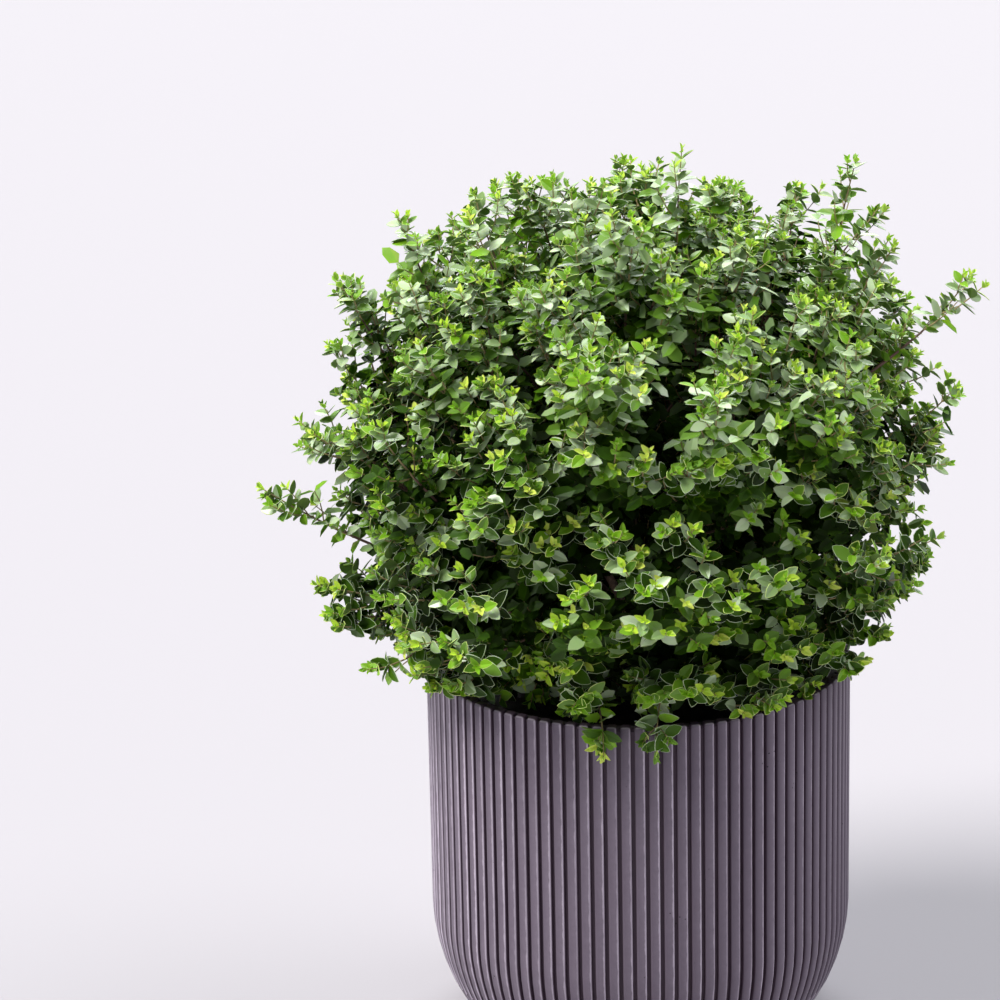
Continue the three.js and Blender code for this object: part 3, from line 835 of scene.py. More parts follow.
def edge_chain(name, points):
    """A chain of edges through points on the plane of X and Z, drawn out from one vertex, in edit mode."""
    clear_selection()
    bpy.ops.mesh.primitive_plane_add(size=MM)
    piece = bpy.context.object
    piece.name = name
    start_editing()
    bpy.ops.mesh.merge(type="CENTER")
    at = Vector((0, 0, 0))
    for radius, height in points:
        place = Vector((radius, 0, height))
        if (place - at).length > 0:
            bpy.ops.mesh.extrude_region_move(TRANSFORM_OT_translate={"value": place - at})
        at = place
    return piece


def on_ribbed_wall(point):
    """True on the outside of the wall and on its rim as far in as the ribs' tops go."""
    out = math.hypot(point.x, point.y)
    under = point.z < CURVE_HEIGHT and out > BASE_RADIUS - WALL_TOLERANCE
    inside = point.z > FLOOR_THICKNESS and out < POT_RADIUS - WALL_THICKNESS + WALL_TOLERANCE
    return (under and not inside) or out > RIDGE_START


def past_half_rib(point):
    """How far round a point lies past the first half rib's side."""
    return abs(math.atan2(point.y, point.x)) - HALF_RIB_TURN


def in_groove(point):
    return 0 < past_half_rib(point) < GROOVE_TURN and on_ribbed_wall(point)


def on_rib_edge(point):
    past = past_half_rib(point)
    return min(abs(past), abs(past - GROOVE_TURN)) < GROOVE_TURN / 4 and on_ribbed_wall(point)


def rib_and_groove():
    """A narrow wedge of the pot: half a rib, a groove cut in with rounded edges, and half the next rib."""
    piece = edge_chain("ribbed_pot", pot_profile())
    bpy.ops.mesh.select_all(action="SELECT")
    for angle, steps in ((HALF_RIB_TURN, HALF_RIB_STEPS), (GROOVE_TURN, 1), (HALF_RIB_TURN, HALF_RIB_STEPS)):
        bpy.ops.mesh.spin(steps=steps, angle=angle, center=(0, 0, 0), axis=(0, 0, 1))
    select_parts(piece, "VERT", on_rib_edge)
    bpy.ops.transform.shrink_fatten(value=-RIB_CROWNING)
    select_parts(piece, "FACE", in_groove)
    bpy.ops.mesh.extrude_region_shrink_fatten(TRANSFORM_OT_shrink_fatten={"value": -GROOVE_DEPTH})
    bpy.ops.mesh.select_more()
    bpy.ops.mesh.region_to_loop()
    bpy.ops.mesh.bevel(offset=RIB_EDGE_ROUNDING, segments=RIB_EDGE_STEPS, affect="EDGES")
    bpy.ops.object.mode_set(mode="OBJECT")
    return piece


def ribbed_pot(finish):
    """The wedge with one rib and one groove, repeated round the pot."""
    piece = rib_and_groove()
    clear_selection()
    turner = new_object("turner", None)
    turner.rotation_euler = (0, 0, RIB_PITCH)
    bpy.context.view_layer.update()
    apply_modifier(
        piece,
        "ARRAY",
        count=RIB_COUNT,
        use_relative_offset=False,
        use_object_offset=True,
        offset_object=turner,
        use_merge_vertices=True,
        merge_threshold=MERGE_DISTANCE,
    )
    bpy.data.objects.remove(turner)
    close_and_turn_out(piece)
    dress(piece, [finish], POT_SMOOTHING)
    settle(piece, "pot", "pot")


# The compost

def domed_compost(finish):
    """A disc of compost, raised a little ring by ring and roughened."""
    clear_selection()
    bpy.ops.mesh.primitive_circle_add(
        vertices=COMPOST_SIDES, radius=COMPOST_RADIUS, fill_type="NGON", location=(0, 0, COMPOST_EDGE_HEIGHT)
    )
    piece = place_primitive()
    piece.name = "compost_surface"
    start_editing()
    bpy.ops.mesh.extrude_region_move(TRANSFORM_OT_translate={"value": (0, 0, -COMPOST_DEPTH)})
    close_and_turn_out(piece)
    start_editing()
    select_parts(piece, "FACE", lambda middle: middle.z > COMPOST_EDGE_HEIGHT - MM)
    for _ in range(COMPOST_RINGS):
        bpy.ops.mesh.inset(thickness=COMPOST_RING_WIDTH, depth=COMPOST_RING_RISE)
    bpy.ops.mesh.poke()
    bpy.ops.object.mode_set(mode="OBJECT")
    top = piece.vertex_groups.new(name="top")
    raised = [v.index for v in piece.data.vertices if v.co.z > COMPOST_EDGE_HEIGHT + COMPOST_RING_RISE / 2]
    top.add(raised, 1.0, "REPLACE")
    raise_lumps(
        piece, "compost_lumps", COMPOST_LUMP_SIZE, 3, COMPOST_LUMP_HEIGHT, direction="Z", vertex_group="top"
    )
    dress(piece, [finish], COMPOST_SMOOTHING)
    settle(piece, "compost", "compost")


# The stem and the limbs

def grow_limb(name, points, radii, sides):
    """A tapering limb: a ring drawn out from point to point and narrowed at each."""
    clear_selection()
    way = (points[1] - points[0]).normalized()
    bpy.ops.mesh.primitive_circle_add(
        vertices=sides,
        radius=radii[0],
        fill_type="NGON",
        location=points[0],
        rotation=way.to_track_quat("Z", "Y").to_euler(),
    )
    limb = place_primitive()
    limb.name = name
    start_editing()
    for i in range(1, len(points)):
        bpy.ops.mesh.extrude_region_move(TRANSFORM_OT_translate={"value": points[i] - points[i - 1]})
        taper = radii[i] / radii[i - 1]
        bpy.ops.transform.resize(value=(taper, taper, taper), center_override=points[i])
    bpy.ops.object.mode_set(mode="OBJECT")
    return limb


def short_stem():
    """The flared stem: a foot on the compost, a waist, and a rounded head that the boughs leave."""
    foot = COMPOST_EDGE_HEIGHT - STEM_FOOT_DEPTH
    neck = STEM_HEAD.z - STEM_NECK_DROP
    rings = [
        (foot, STEM_FOOT_RADIUS),
        (foot + STEM_FLARE_HEIGHT, STEM_FLARE_RADIUS),
        ((foot + neck) / 2, STEM_MIDDLE_RADIUS),
        (neck, STEM_WAIST_RADIUS),
    ]
    for elevation in STEM_HEAD_RINGS:
        e = math.radians(elevation)
        rings.append((STEM_HEAD.z + STEM_HEAD_RADIUS * math.sin(e), STEM_HEAD_RADIUS * math.cos(e)))
    heights, radii = zip(*rings)
    return grow_limb("stem_and_boughs", [Vector((0, 0, z)) for z in heights], radii, STEM_SIDES)


def main_bough(mass, rng):
    """One limb from the stem's head to where its mass begins, a little bent."""
    start = STEM_HEAD + mass.axis * STEM_HEAD_RADIUS * BOUGH_START_SHARE
    sideways = Vector([rng.uniform(-1, 1) for _ in range(3)]).cross(mass.axis).normalized()
    points, radii = [], []
    for i in range(BOUGH_STEPS + 1):
        share = i / BOUGH_STEPS
        bend = sideways * BOUGH_BEND * math.sin(math.pi * share) ** 2
        points.append(start.lerp(mass.gate, share) + bend)
        radii.append(blend((BOUGH_FOOT_RADIUS, BOUGH_TIP_RADIUS), share))
    return grow_limb("bough_" + mass.name, points, radii, BOUGH_SIDES)


def stem_and_boughs(masses, finish):
    """Stem and boughs joined in one piece, with the bark's relief on it."""
    rng = random.Random(SEED)
    piece = short_stem()
    limbs = [main_bough(mass, rng) for mass in masses]
    make_active(piece)
    for limb in limbs:
        limb.select_set(True)
    bpy.ops.object.join()
    apply_modifier(piece, "SUBSURF", levels=1, render_levels=1)
    raise_lumps(piece, "bark_ridges", BARK_RIDGE_SIZE, 4, BARK_RELIEF * 2)
    dress(piece, [finish], BARK_SMOOTHING)
    settle(piece, "bark", "stem", *["bough_" + mass.name for mass in masses])


# The crown's masses

def crown_reach(direction, start=STEM_HEAD):
    """How far the crown reaches in a direction from a place on the pot's axis."""
    near, far = 0.0, 2 * CROWN_RADIUS
    for _ in range(CROWN_HALVINGS):
        middle = (near + far) / 2
        point = start + direction * middle
        rise = point.z - CROWN_WIDEST_HEIGHT
        half = CROWN_TOP - CROWN_WIDEST_HEIGHT if rise > 0 else CROWN_WIDEST_HEIGHT - CROWN_BOTTOM
        power = CROWN_TOP_POWER if rise > 0 else CROWN_BOTTOM_POWER
        across = math.hypot(point.x, point.y) / CROWN_RADIUS
        if across**power + (abs(rise) / half) ** power < 1:
            near = middle
        else:
            far = middle
    bearing = math.atan2(direction.y, direction.x)
    first, second = (round_it * bearing + up_it * direction.z for round_it, up_it in CROWN_SWELLS)
    swell = math.sin(first) * math.cos(second)
    return near * (1 + CROWN_UNEVENNESS * swell)


class Mass:
    """One mass of foliage: the axis that its space lies round, its bough's length, and what grows in it."""

    def __init__(self, name, axis, entry):
        self.name = name
        self.axis = axis
        self.entry = entry
        self.gate = STEM_HEAD + axis * entry
        self.forks = []
        self.twigs = Twigs()
        self.leaves = []


def foliage_masses():
    """The masses of the source: a low ring, a high ring and one at the top, on axes from the stem's head."""
    draw = random_stream(SEED)

    def wobble():
        return AXIS_WOBBLE * (2 * draw() - 1)

    masses = []
    for ring, elevation, entry in (("low_", LOW_ELEVATION, LOW_ENTRY), ("high_", HIGH_ELEVATION, HIGH_ENTRY)):
        for i, side in enumerate(SIDES):
            if ring == "low_" or "_" in side:
                axis = direction_of(i * SIDE_BEARING + wobble(), elevation + wobble())
                masses.append(Mass(ring + side, axis, entry))
    masses.append(Mass("top", direction_of(TOP_BEARING, TOP_ELEVATION), TOP_ENTRY))
    return masses


def way_from_head(point):
    return (point - STEM_HEAD).normalized()


def mass_at(masses, point):
    """The mass whose space holds a point: the one whose axis lies nearest to it."""
    way = way_from_head(point)
    return max(masses, key=lambda mass: mass.axis.dot(way))


def clear_of_pot(point):
    """True outside the pot's wall and above the compost."""
    across = math.hypot(point.x, point.y)
    if point.z > POT_HEIGHT + WALL_CLEARANCE or across > POT_RADIUS + WALL_CLEARANCE:
        return True
    above_compost = point.z > COMPOST_EDGE_HEIGHT + COMPOST_CLEARANCE
    return above_compost and across < POT_RADIUS - WALL_THICKNESS - INNER_CLEARANCE


# Shoots

class Path:
    """A smooth bent line from a foot to a tip, read off by the distance from its tip."""

    def __init__(self, foot, foot_way, tip, tip_way, steps):
        reach = (tip - foot).length / 3
        ends = (foot, foot + foot_way * reach, tip - tip_way * reach, tip)
        self.points = []
        for i in range(steps + 1):
            t = i / steps
            shares = ((1 - t) ** 3, 3 * t * (1 - t) ** 2, 3 * t * t * (1 - t), t**3)
            self.points.append(weighed(shares, ends))
        self.length = sum((b - a).length for a, b in zip(self.points, self.points[1:]))

    def back_from_tip(self, distance):
        """The point at a distance from the tip along the line, and the way the line runs there."""
        left = distance
        for i in range(len(self.points) - 1, 0, -1):
            outer, inner = self.points[i], self.points[i - 1]
            span = (outer - inner).length
            if left <= span or i == 1:
                return outer.lerp(inner, min(left / span, 1)), (outer - inner).normalized()
            left -= span


class Twigs:
    """Tapering tubes of one mass, gathered for one joined mesh: finish 0 is old wood and 1 is young wood."""

    def __init__(self):
        self.points, self.corners, self.starts, self.finishes = [], [], [], []

    def add(self, line, foot_radius, tip_radius, sides, young_from=math.inf):
        count = len(line)
        first = len(self.points)
        for i, point in enumerate(line):
            before, after = line[max(i - 1, 0)], line[min(i + 1, count - 1)]
            way = (after - before).normalized()
            across = way.orthogonal().normalized()
            other = way.cross(across)
            radius = foot_radius + (tip_radius - foot_radius) * i / (count - 1)
            for k in range(sides):
                turn = 2 * math.pi * k / sides
                self.points.append(point + (across * math.cos(turn) + other * math.sin(turn)) * radius)
        for i in range(count - 1):
            young = (i + 0.5) / (count - 1) > young_from
            for k in range(sides):
                a, b = first + i * sides + k, first + i * sides + (k + 1) % sides
                self.face((a, b, b + sides, a + sides), young)
        last = first + (count - 1) * sides
        self.face(range(first + sides - 1, first - 1, -1), False)
        self.face(range(last, last + sides), young_from < 1)

    def face(self, corners, young):
        self.starts.append(len(self.corners))
        self.corners.extend(corners)
        self.finishes.append(int(young))


def side_way(way, turn):
    """The way out to a leaf or side shoot, turned about the shoot, and flatter on level shoots."""
    level = UP.cross(way)
    if level.length < UPRIGHT_LIMIT:
        level = Vector((1, 0, 0))
    level.normalize()
    out = level * math.cos(turn) + way.cross(level) * math.sin(turn)
    out.z *= 1 - LEVELLING * (1 - abs(way.z))
    return (out - way * out.dot(way)).normalized()


# Leaves

class LeafShape:
    """A closed leaf: two folded faces that share an outline, or that a pale margin joins.

    Each of its places holds a share of the length, a side, an inset, and a level over or under the middle.
    """

    def __init__(self, outline_steps, with_margin):
        self.places = []
        self.faces = []
        self.kinds = []
        rim = [0.5 - 0.5 * math.cos(math.pi * k / outline_steps) for k in range(outline_steps + 1)]
        inner = rim[1:-1]
        middle = inner[len(inner) // 2]
        ribs = inner[1:-1] or [middle]
        under = self.edges(inner, 0.0, -1 if with_margin else 0)
        over = self.edges(inner, MARGIN_SHARE, 1) if with_margin else under
        over_rib = [self.corner(along, 0, 0, 1) for along in ribs]
        under_rib = [self.corner(middle, 0, 0, -1)]
        self.blade(over, inner, over_rib, ribs, UPPER)
        self.blade(under, inner, under_rib, [middle], UNDER)
        if with_margin:
            for low, high, forward in zip(under, over, (True, False)):
                for i in range(len(low) - 1):
                    self.face([low[i], low[i + 1], high[i + 1], high[i]], MARGIN, forward)
        self.places = np.array(self.places)
        self.corners = np.concatenate(self.faces)
        self.starts = np.cumsum([0] + [len(face) for face in self.faces[:-1]])

    def corner(self, along, side, inset, level):
        self.places.append((along, side, inset, level))
        return len(self.places) - 1

    def edges(self, inner, inset, level):
        """The outline's left and right edge, each from the root to the tip."""
        root = self.corner(0, 0, inset, level)
        left = [self.corner(along, -1, inset, level) for along in inner]
        right = [self.corner(along, 1, inset, level) for along in inner]
        tip = self.corner(1, 0, inset, level)
        return [root, *left, tip], [root, *right, tip]

    def blade(self, edges, inner, rib, ribs, kind):
        """Both halves of a face, in strips from the midrib out to the edge."""
        stations = [0, *ribs, 1]
        for edge, forward in zip(edges, (kind == UPPER, kind == UNDER)):
            line = [edge[0], *rib, edge[-1]]
            for i, (low, high) in enumerate(zip(stations, stations[1:])):
                outer = [corner for corner, along in zip(edge[1:-1], inner) if low <= along <= high]
                self.face([line[i], *outer, line[i + 1]], kind, forward)

    def face(self, corners, kind, forward):
        self.faces.append(corners if forward else corners[::-1])
        self.kinds.append(kind)


LEAF_SHAPES = {
    "bordered": LeafShape(5, True),
    "mature": LeafShape(5, False),
    "young": LeafShape(4, False),
    "inner": LeafShape(3, False),
}


def half_width(along):
    """A leaf's half width along its length, 1 at the widest place and 0 at its root and tip."""
    root_power = LEAF_TIP_POWER * LEAF_WIDEST_AT / (1 - LEAF_WIDEST_AT)
    return (along / LEAF_WIDEST_AT) ** root_power * ((1 - along) / (1 - LEAF_WIDEST_AT)) ** LEAF_TIP_POWER


def leaf_points(leaves, shape):
    """Vertices of all leaves of one shape, which is folded, curled and set in each leaf's own axes."""
    root, along, face = (np.array([leaf[key] for leaf in leaves]) for key in ("root", "along", "face"))
    length, width, fold, curl = (
        np.array([leaf[key] for leaf in leaves])[:, None] for key in ("length", "width", "fold", "curl")
    )
    place, side, inset, level = shape.places.T
    spread = half_width(place) * side * (1 - MARGIN_AT_SIDES * inset)
    place = LEAF_WIDEST_AT + (place - LEAF_WIDEST_AT) * (1 - MARGIN_AT_ENDS * inset)
    out = spread * width * length / 2
    rise = np.abs(out) * np.tan(fold) - curl * length * place**2 + level * LEAF_THICKNESS / 2
    points = root[:, None]
    for amount, way in ((place * length, along), (out, np.cross(face, along)), (rise, face)):
        points = points + amount[:, :, None] * way[:, None]
    return points.reshape(-1, 3)


def joined_piece(name, arrays, finishes, smoothing):
    """One mesh from its points, its faces' corners and first corners, and their finishes' numbers."""
    points, corners, starts, numbers = arrays
    mesh = bpy.data.meshes.new(name)
    mesh.vertices.add(len(points))
    mesh.vertices.foreach_set("co", np.asarray(points, np.float32).ravel())
    mesh.loops.add(len(corners))
    mesh.loops.foreach_set("vertex_index", np.asarray(corners, np.int32))
    mesh.polygons.add(len(starts))
    mesh.polygons.foreach_set("loop_start", np.asarray(starts, np.int32))
    mesh.polygons.foreach_set("material_index", np.asarray(numbers, np.int32))
    mesh.update(calc_edges=True)
    piece = new_object(name, mesh)
    dress(piece, finishes, smoothing)
    return piece


def leaves_piece(mass, finishes):
    """All leaves of one mass as one mesh, each with the finishes dealt to its spray."""
    points, corners, starts, numbers = [], [], [], []
    point_count = corner_count = 0
    for name, shape in LEAF_SHAPES.items():
        leaves = [leaf for leaf in mass.leaves if leaf["shape"] == name]
        order = np.arange(len(leaves))[:, None]
        points.append(leaf_points(leaves, shape))
        corners.append((point_count + order * len(shape.places) + shape.corners).ravel())
        starts.append((corner_count + order * len(shape.corners) + shape.starts).ravel())
        numbers.append(np.array([leaf["finishes"] for leaf in leaves])[:, shape.kinds].ravel())
        point_count += len(leaves) * len(shape.places)
        corner_count += len(leaves) * len(shape.corners)
    arrays = [np.concatenate(part) for part in (points, corners, starts, numbers)]
    return joined_piece("leaves_" + mass.name, arrays, finishes, LEAF_SMOOTHING)


def twigs_piece(mass, finishes):
    twigs = mass.twigs
    arrays = (twigs.points, twigs.corners, twigs.starts, twigs.finishes)
    return joined_piece("twigs_" + mass.name, arrays, finishes, BARK_SMOOTHING)


# Growth

def shaken(vector, amount, rng):
    """A unit vector near the given one."""
    shake = Vector((rng.gauss(0, 1), rng.gauss(0, 1), rng.gauss(0, 1))) * amount
    return (vector + shake).normalized()


def height_share_of(point):
    """How high in the crown a point lies, from 0 at its foot to 1 at its top."""
    return (point.z - CROWN_BOTTOM) / (CROWN_TOP - CROWN_BOTTOM)


def greens_at(height_share):
    return next(greens for ceiling, greens in GREENS_UP_TO.items() if height_share < ceiling)


def spray_tones(height_share, lime, rng):
    """The greens of one spray, and whether its leaves show their pale borders."""
    greens = greens_at(height_share)
    return {
        **greens,
        "old": rng.choices(OLD_GREENS, greens["weights"])[0],
        "young": rng.choice(LIME_GREENS if lime else QUIET_GREENS),
        "inner_underside": INNER_UNDERSIDE,
        "sheen": blend(SHEEN_SHARE, height_share),
        "bordered": rng.random() < BORDERED_SHARE,
    }


def first_turn_of(way, rng):
    """Upright shoots start their crossed pairs at any turn, level ones halfway between level and upright."""
    if abs(way.z) > UPRIGHT_FROM:
        return rng.uniform(0, math.pi)
    return QUARTER_TURN / 2 + rng.uniform(-FIRST_TURN_CHANGE, FIRST_TURN_CHANGE)


def grow_twig(mass, path, sides):
    """The wood of a shoot, thicker towards its foot and young towards its tip."""
    foot_radius = TWIG_TIP_RADIUS + TWIG_THICKENING * path.length
    young_from = max(1 - YOUNG_WOOD / path.length, 0)
    mass.twigs.add(path.points, foot_radius, TWIG_TIP_RADIUS, sides, young_from)


class Growth:
    """Leaves and side shoots along a path in one mass, with the greens and the leaf scale that they share."""

    def __init__(self, mass, path, tones, scale, rng):
        self.mass = mass
        self.path = path
        self.tones = tones
        self.scale = scale
        self.rng = rng

    def finish_names(self, pair):
        """Finishes of a leaf's upper face, margin and underside, by how far it stands from the tip."""
        tones, rng = self.tones, self.rng
        if pair < YOUNG_PAIRS:
            return tones["young"], "young_margin", "young_underside"
        if pair >= OUTER_PAIRS:
            return rng.choice(tones["inner"]), "margin", tones["inner_underside"]
        # Some leaves take the painted sheen green.
        if rng.random() < tones["sheen"]:
            return "sheen", "margin", "underside"
        if pair >= ROSETTE_PAIRS:
            return rng.choice(tones["backing"]), "margin", "underside"
        if pair == YOUNG_PAIRS and tones["young"] != "pale_green":
            return rng.choice(tones["collar"]), "young_margin", "underside"
        if rng.random() < ODD_SHARE:
            return rng.choice(tones["odd"]), "margin", "underside"
        return tones["old"], "margin", "underside"

    def shape_name(self, pair):
        if pair < YOUNG_PAIRS:
            return "young"
        if pair >= OUTER_PAIRS:
            return "inner"
        return "bordered" if self.tones["bordered"] else "mature"

    def add_leaf(self, at, way, out, pair):
        """One leaf, leaning out from the shoot with its upper face turned partly to the light."""
        rng = self.rng
        lean = math.radians(PAIR_LEANS[pair] + rng.uniform(-LEAN_CHANGE, LEAN_CHANGE))
        along = shaken(way * math.cos(lean) + out * math.sin(lean), ALONG_SHAKE, rng)
        light = weighed(LIGHT_SHARES, (UP, (at - CROWN_MIDDLE).normalized())).normalized()
        face = (way * math.sin(lean) - out * math.cos(lean)) * (1 - LIGHT_TURN) + light * LIGHT_TURN
        face = shaken(face, FACE_SHAKE, rng)
        face = (face - along * face.dot(along)).normalized()
        length = PAIR_LENGTHS[pair] * self.scale * rng.uniform(*LEAF_LENGTHS)
        if not all(clear_of_pot(at + along * length * share) for share in LEAF_CHECKS):
            return
        age = "young" if pair < YOUNG_PAIRS else "mature"
        self.mass.leaves.append(
            {
                "shape": self.shape_name(pair),
                "root": at,
                "along": along,
                "face": face,
                "length": length,
                "width": LEAF_WIDTH_SHARE * rng.uniform(*LEAF_WIDTHS) * WIDTH_BY_AGE[age],
                "fold": math.radians(rng.uniform(*FOLD_BY_AGE[age])),
                "curl": rng.uniform(*CURL_BY_AGE[age]),
                "finishes": [LEAF_NUMBERS[name] for name in self.finish_names(pair)],
            }
        )

    def add_leaf_pairs(self, first_turn, stretch, first_pair=0):
        """Pairs of leaves from the tip inwards, each pair crossed with the next."""
        for pair in range(first_pair, len(PAIR_PLACES)):
            place = (PAIR_PLACES[pair] - PAIR_PLACES[first_pair]) * stretch
            if place > self.path.length * LEAFY_SHARE:
                return
            at, way = self.path.back_from_tip(place)
            turn = first_turn + pair * QUARTER_TURN
            turn += self.rng.uniform(-PAIR_TURN_CHANGE, PAIR_TURN_CHANGE)
            for half_turn in OPPOSITE_TURNS:
                self.add_leaf(at, way, side_way(way, turn + half_turn), pair)

    def grow_side_shoot(self, place, turn, length, tones=None, scale=None, first_pair=0):
        """A short shoot from a leaf's axil, bent forward along the shoot that bears it."""
        rng = self.rng
        at, way = self.path.back_from_tip(place)
        spread = math.radians(SIDE_SHOOT_SPREAD + rng.uniform(*SIDE_SPREAD_CHANGE))
        foot_way = way * math.cos(spread) + side_way(way, turn) * math.sin(spread)
        ways = (foot_way, way, UP)
        tip = at + shaken(weighed(SIDE_TIP_SHARES, ways), SIDE_TIP_SHAKE, rng) * length
        if not clear_of_pot(tip):
            return
        tip_way = shaken(weighed(SIDE_WAY_SHARES, ways), SIDE_WAY_SHAKE, rng)
        path = Path(at, foot_way, tip, tip_way, SIDE_SHOOT_STEPS)
        grow_twig(self.mass, path, SIDE_SHOOT_SIDES)
        shoot = Growth(self.mass, path, tones or self.tones, scale or self.scale, rng)
        shoot.add_leaf_pairs(first_turn_of(tip_way, rng), SIDE_SHOOT_STRETCH, first_pair)

    def grow_outer_shoots(self, first_turn, stretch, high):
        """Leafy shoots on a spray's sides near its tip, most of them with quieter young leaves."""
        rng = self.rng
        for i, place in enumerate(SIDE_SHOOT_PLACES):
            for half_turn in OPPOSITE_TURNS:
                if rng.random() < blend(SIDE_SHOOT_CHANCE, high):
                    length = place * rng.uniform(*SIDE_SHOOT_LENGTHS)
                    turn = first_turn + i * QUARTER_TURN + half_turn
                    own = rng.random() < SIDE_LIME_SHARE
                    young = self.tones["young"] if own else rng.choice(SIDE_GREENS)
                    self.grow_side_shoot(place * stretch, turn, length, tones=dict(self.tones, young=young))

    def grow_inner_shoots(self, first_turn, high):
        """Short shaded shoots on a spray's sides, from behind its outer leaves to its foot."""
        place = INNER_SHOOTS_FROM
        while place < self.path.length * LEAFY_SHARE:
            for half_turn in OPPOSITE_TURNS:
                if self.rng.random() < blend(INNER_SHOOT_CHANCE, high):
                    turn = first_turn + place / INNER_SHOOT_SPACING * QUARTER_TURN + half_turn
                    length = self.rng.uniform(*INNER_SHOOT_LENGTHS) * MM
                    self.grow_side_shoot(place, turn, length, scale=1.0, first_pair=OUTER_PAIRS)
            place += INNER_SHOOT_SPACING


def grow_spray(mass, fork, tip, tip_way, rng, stretch=1.0, exposed=False):
    """A main shoot from a fork to its tip, with side shoots and leaves along its outer part."""
    foot_way = shaken(weighed(FOOT_SHARES, ((tip - fork).normalized(), mass.axis)), FOOT_SHAKE, rng)
    path = Path(fork, foot_way, tip, tip_way, SPRAY_STEPS)
    if not all(clear_of_pot(point) for point in path.points):
        return
    high = height_share_of(tip)
    tones = spray_tones(high, rng.random() < LIME_SHARE, rng)
    # Painted light: paler greens and undersides on long shoots that stand out.
    if exposed:
        tones.update(backing=EXPOSED_GREENS, inner=EXPOSED_GREENS, inner_underside=EXPOSED_UNDERSIDE)
    scale = blend(LEAF_SCALE, high)
    first_turn = first_turn_of(tip_way, rng)
    grow_twig(mass, path, SPRAY_SIDES)
    spray = Growth(mass, path, tones, scale, rng)
    spray.add_leaf_pairs(first_turn, stretch * scale)
    spray.grow_outer_shoots(first_turn, stretch * scale, high)
    spray.grow_inner_shoots(first_turn, high)


def grow_inner_leaves(mass, path, rng):
    """Shaded leafy shoots round a thin limb, which close the view through the crown."""
    tones = dict(greens_at(height_share_of(path.points[-1])), inner_underside=INNER_UNDERSIDE)
    limb = Growth(mass, path, tones, FORK_LEAF_SCALE, rng)
    for i in range(FORK_LEAF_PLACES):
        place = path.length * i / FORK_LEAF_PLACES
        length = rng.uniform(*FORK_SHOOT_LENGTHS) * MM
        limb.grow_side_shoot(place, i * GOLDEN_TURN, length, first_pair=OUTER_PAIRS)


def grow_forks(masses, rng):
    """Thin limbs from the end of each bough to the places where its sprays part, with leaves on them."""
    for direction in even_directions(FORK_COUNT):
        reach = crown_reach(direction) * FORK_REACH * rng.uniform(*FORK_REACH_CHANGE)
        place = STEM_HEAD + shaken(direction, FORK_SHAKE, rng) * reach
        if place.z < POT_HEIGHT + FORK_CLEARANCE:
            continue
        mass = mass_at(masses, place)
        if (place - STEM_HEAD).dot(mass.axis) >= mass.entry + FORK_START:
            mass.forks.append({"at": place, "way": way_from_head(place), "vigour": rng.uniform(*FORK_VIGOUR)})
    for mass in masses:
        for fork in mass.forks:
            path = Path(mass.gate, mass.axis, fork["at"], fork["way"], FORK_STEPS)
            mass.twigs.add(path.points, FORK_FOOT_RADIUS, FORK_TIP_RADIUS, FORK_SIDES)
            grow_inner_leaves(mass, path, rng)


def nearest_fork(mass, tip):
    way = way_from_head(tip)
    return max(mass.forks, key=lambda fork: fork["way"].dot(way))


def spray_tip_way(tip, rng):
    """Tips point outwards and up, the lowest ones level."""
    rise = between(TIP_RISE_GAIN * height_share_of(tip) - TIP_RISE_START, LOWEST_TIP_RISE, 1)
    return shaken(way_from_head(tip) + UP * TIP_RISE * rise, TIP_SHAKE, rng)


def grow_crown_sprays(masses, rng):
    """Sprays to places spread over the crown, each drawn towards its fork, so that they form tufts."""
    for direction in even_directions(SPRAY_COUNT):
        direction = shaken(direction, SPRAY_SHAKE, rng)
        stray = rng.random() < STRAY_SHARE and direction.z < STRAY_CEILING
        share = rng.uniform(*(STRAY_REACH if stray else SPRAY_REACH))
        tip = CROWN_MIDDLE + direction * crown_reach(direction, CROWN_MIDDLE) * share
        mass = mass_at(masses, tip)
        fork = nearest_fork(mass, tip)
        from_head = tip - STEM_HEAD
        over_fork = fork["way"] * from_head.length
        pull = blend(TUFT_PULL, height_share_of(tip))
        tip = STEM_HEAD + from_head.lerp(over_fork, pull) * fork["vigour"]
        if clear_of_pot(tip):
            grow_spray(mass, fork["at"], tip, spray_tip_way(tip, rng), rng)


def grow_long_shoots(masses, rng):
    for bearing, elevation, reach in LONG_SHOOTS + FILLING_SHOOTS:
        way = direction_of(bearing, elevation)
        tip = STEM_HEAD + way * reach * MM
        bent = way * DROOP_SHARE - UP if elevation < 0 else way + UP * LONG_SHOOT_RISE
        tip_way = shaken(bent, LONG_SHOOT_SHAKE, rng)
        mass = mass_at(masses, tip)
        fork = nearest_fork(mass, tip)
        grow_spray(mass, fork["at"], tip, tip_way, rng, LONG_SHOOT_STRETCH, exposed=True)


# Camera, floor and light

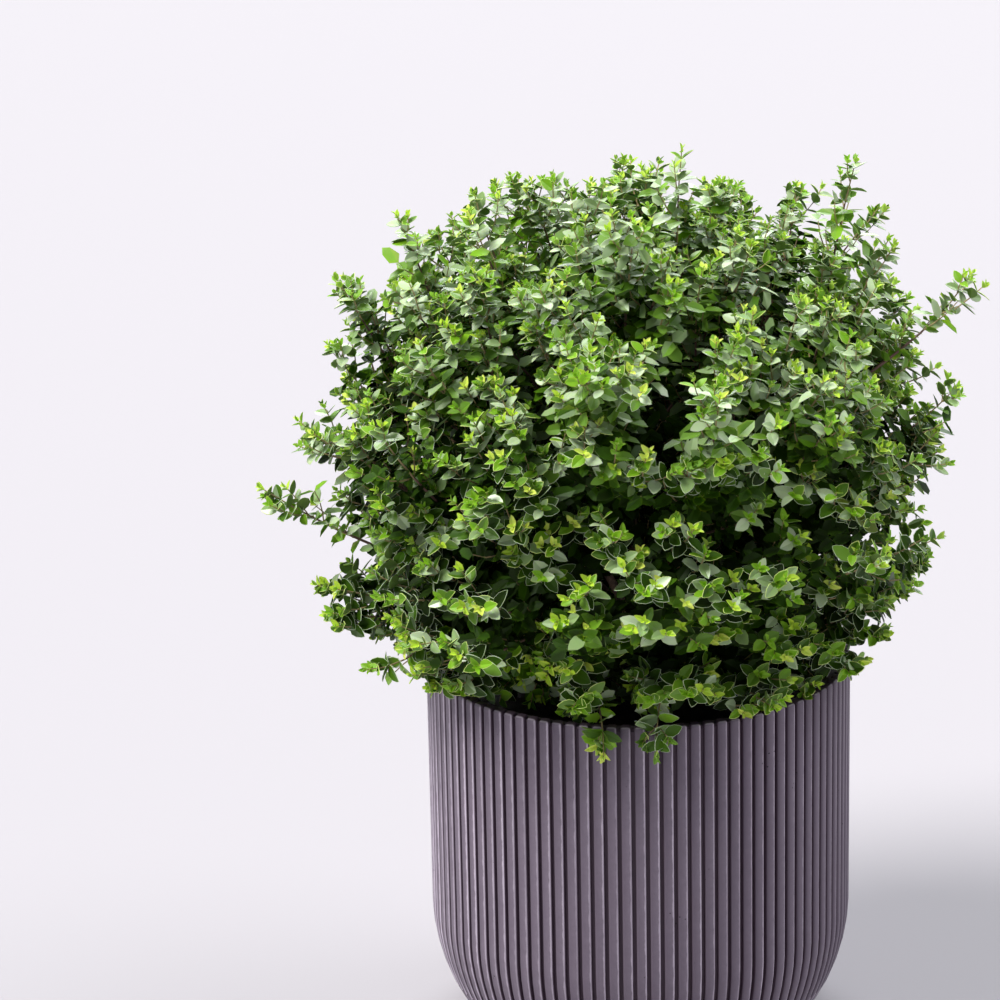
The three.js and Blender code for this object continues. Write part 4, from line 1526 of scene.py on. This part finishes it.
def place_camera():
    data = bpy.data.cameras.new("camera")
    data.lens = CAMERA_LENS
    data.sensor_width = SENSOR_WIDTH
    camera = new_object("camera", data)
    dip = Matrix.Rotation(math.radians(90 - CAMERA_DIP), 4, "X")
    roll = Matrix.Rotation(math.radians(CAMERA_ROLL), 4, "Z")
    camera.matrix_world = Matrix.Translation(CAMERA_PLACE) @ dip @ roll
    bpy.context.scene.camera = camera


def lay_floor():
    clear_selection()
    bpy.ops.mesh.primitive_plane_add(size=FLOOR_SIZE)
    floor = bpy.context.object
    floor.name = "floor"
    floor.data.materials.append(plain_finish("pale_floor", *FLOOR_FINISH))


def light_scene():
    """A pale sky, and broad lamps far off, which light the whole floor evenly."""
    world = bpy.data.worlds.new("studio")
    world.use_nodes = True
    background = world.node_tree.nodes["Background"]
    background.inputs["Color"].default_value = SKY_COLOUR
    background.inputs["Strength"].default_value = SKY_STRENGTH
    bpy.context.scene.world = world
    for name, (way, spread, strength, colour) in LAMPS.items():
        data = bpy.data.lights.new(name, type="SUN")
        data.angle = math.radians(spread)
        data.energy = strength
        data.color = colour
        new_object(name, data).rotation_euler = Vector(way).to_track_quat("Z", "Y").to_euler()
    bpy.context.scene.view_settings.view_transform = "Standard"


# The whole plant

def build():
    mottle = mottle_group()
    ribbed_pot(cast_pot_finish(mottle, pits_group()))
    domed_compost(compost_finish(mottle))
    masses = foliage_masses()
    stem_and_boughs(masses, bark_finish(mottle))
    rng = random.Random(SEED)
    grow_forks(masses, rng)
    grow_crown_sprays(masses, rng)
    grow_long_shoots(masses, rng)
    leaf_finishes = [plain_finish("leaf_" + name, *values) for name, values in LEAF_FINISHES.items()]
    for finish in leaf_finishes:
        let_light_through(finish)
    twig_finishes = [plain_finish(name, *values) for name, values in TWIG_FINISHES.items()]
    for mass in masses:
        node = "foliage_" + mass.name
        settle(twigs_piece(mass, twig_finishes), "bark", node)
        settle(leaves_piece(mass, leaf_finishes), "leaves", node)


build()
place_camera()
lay_floor()
light_scene()
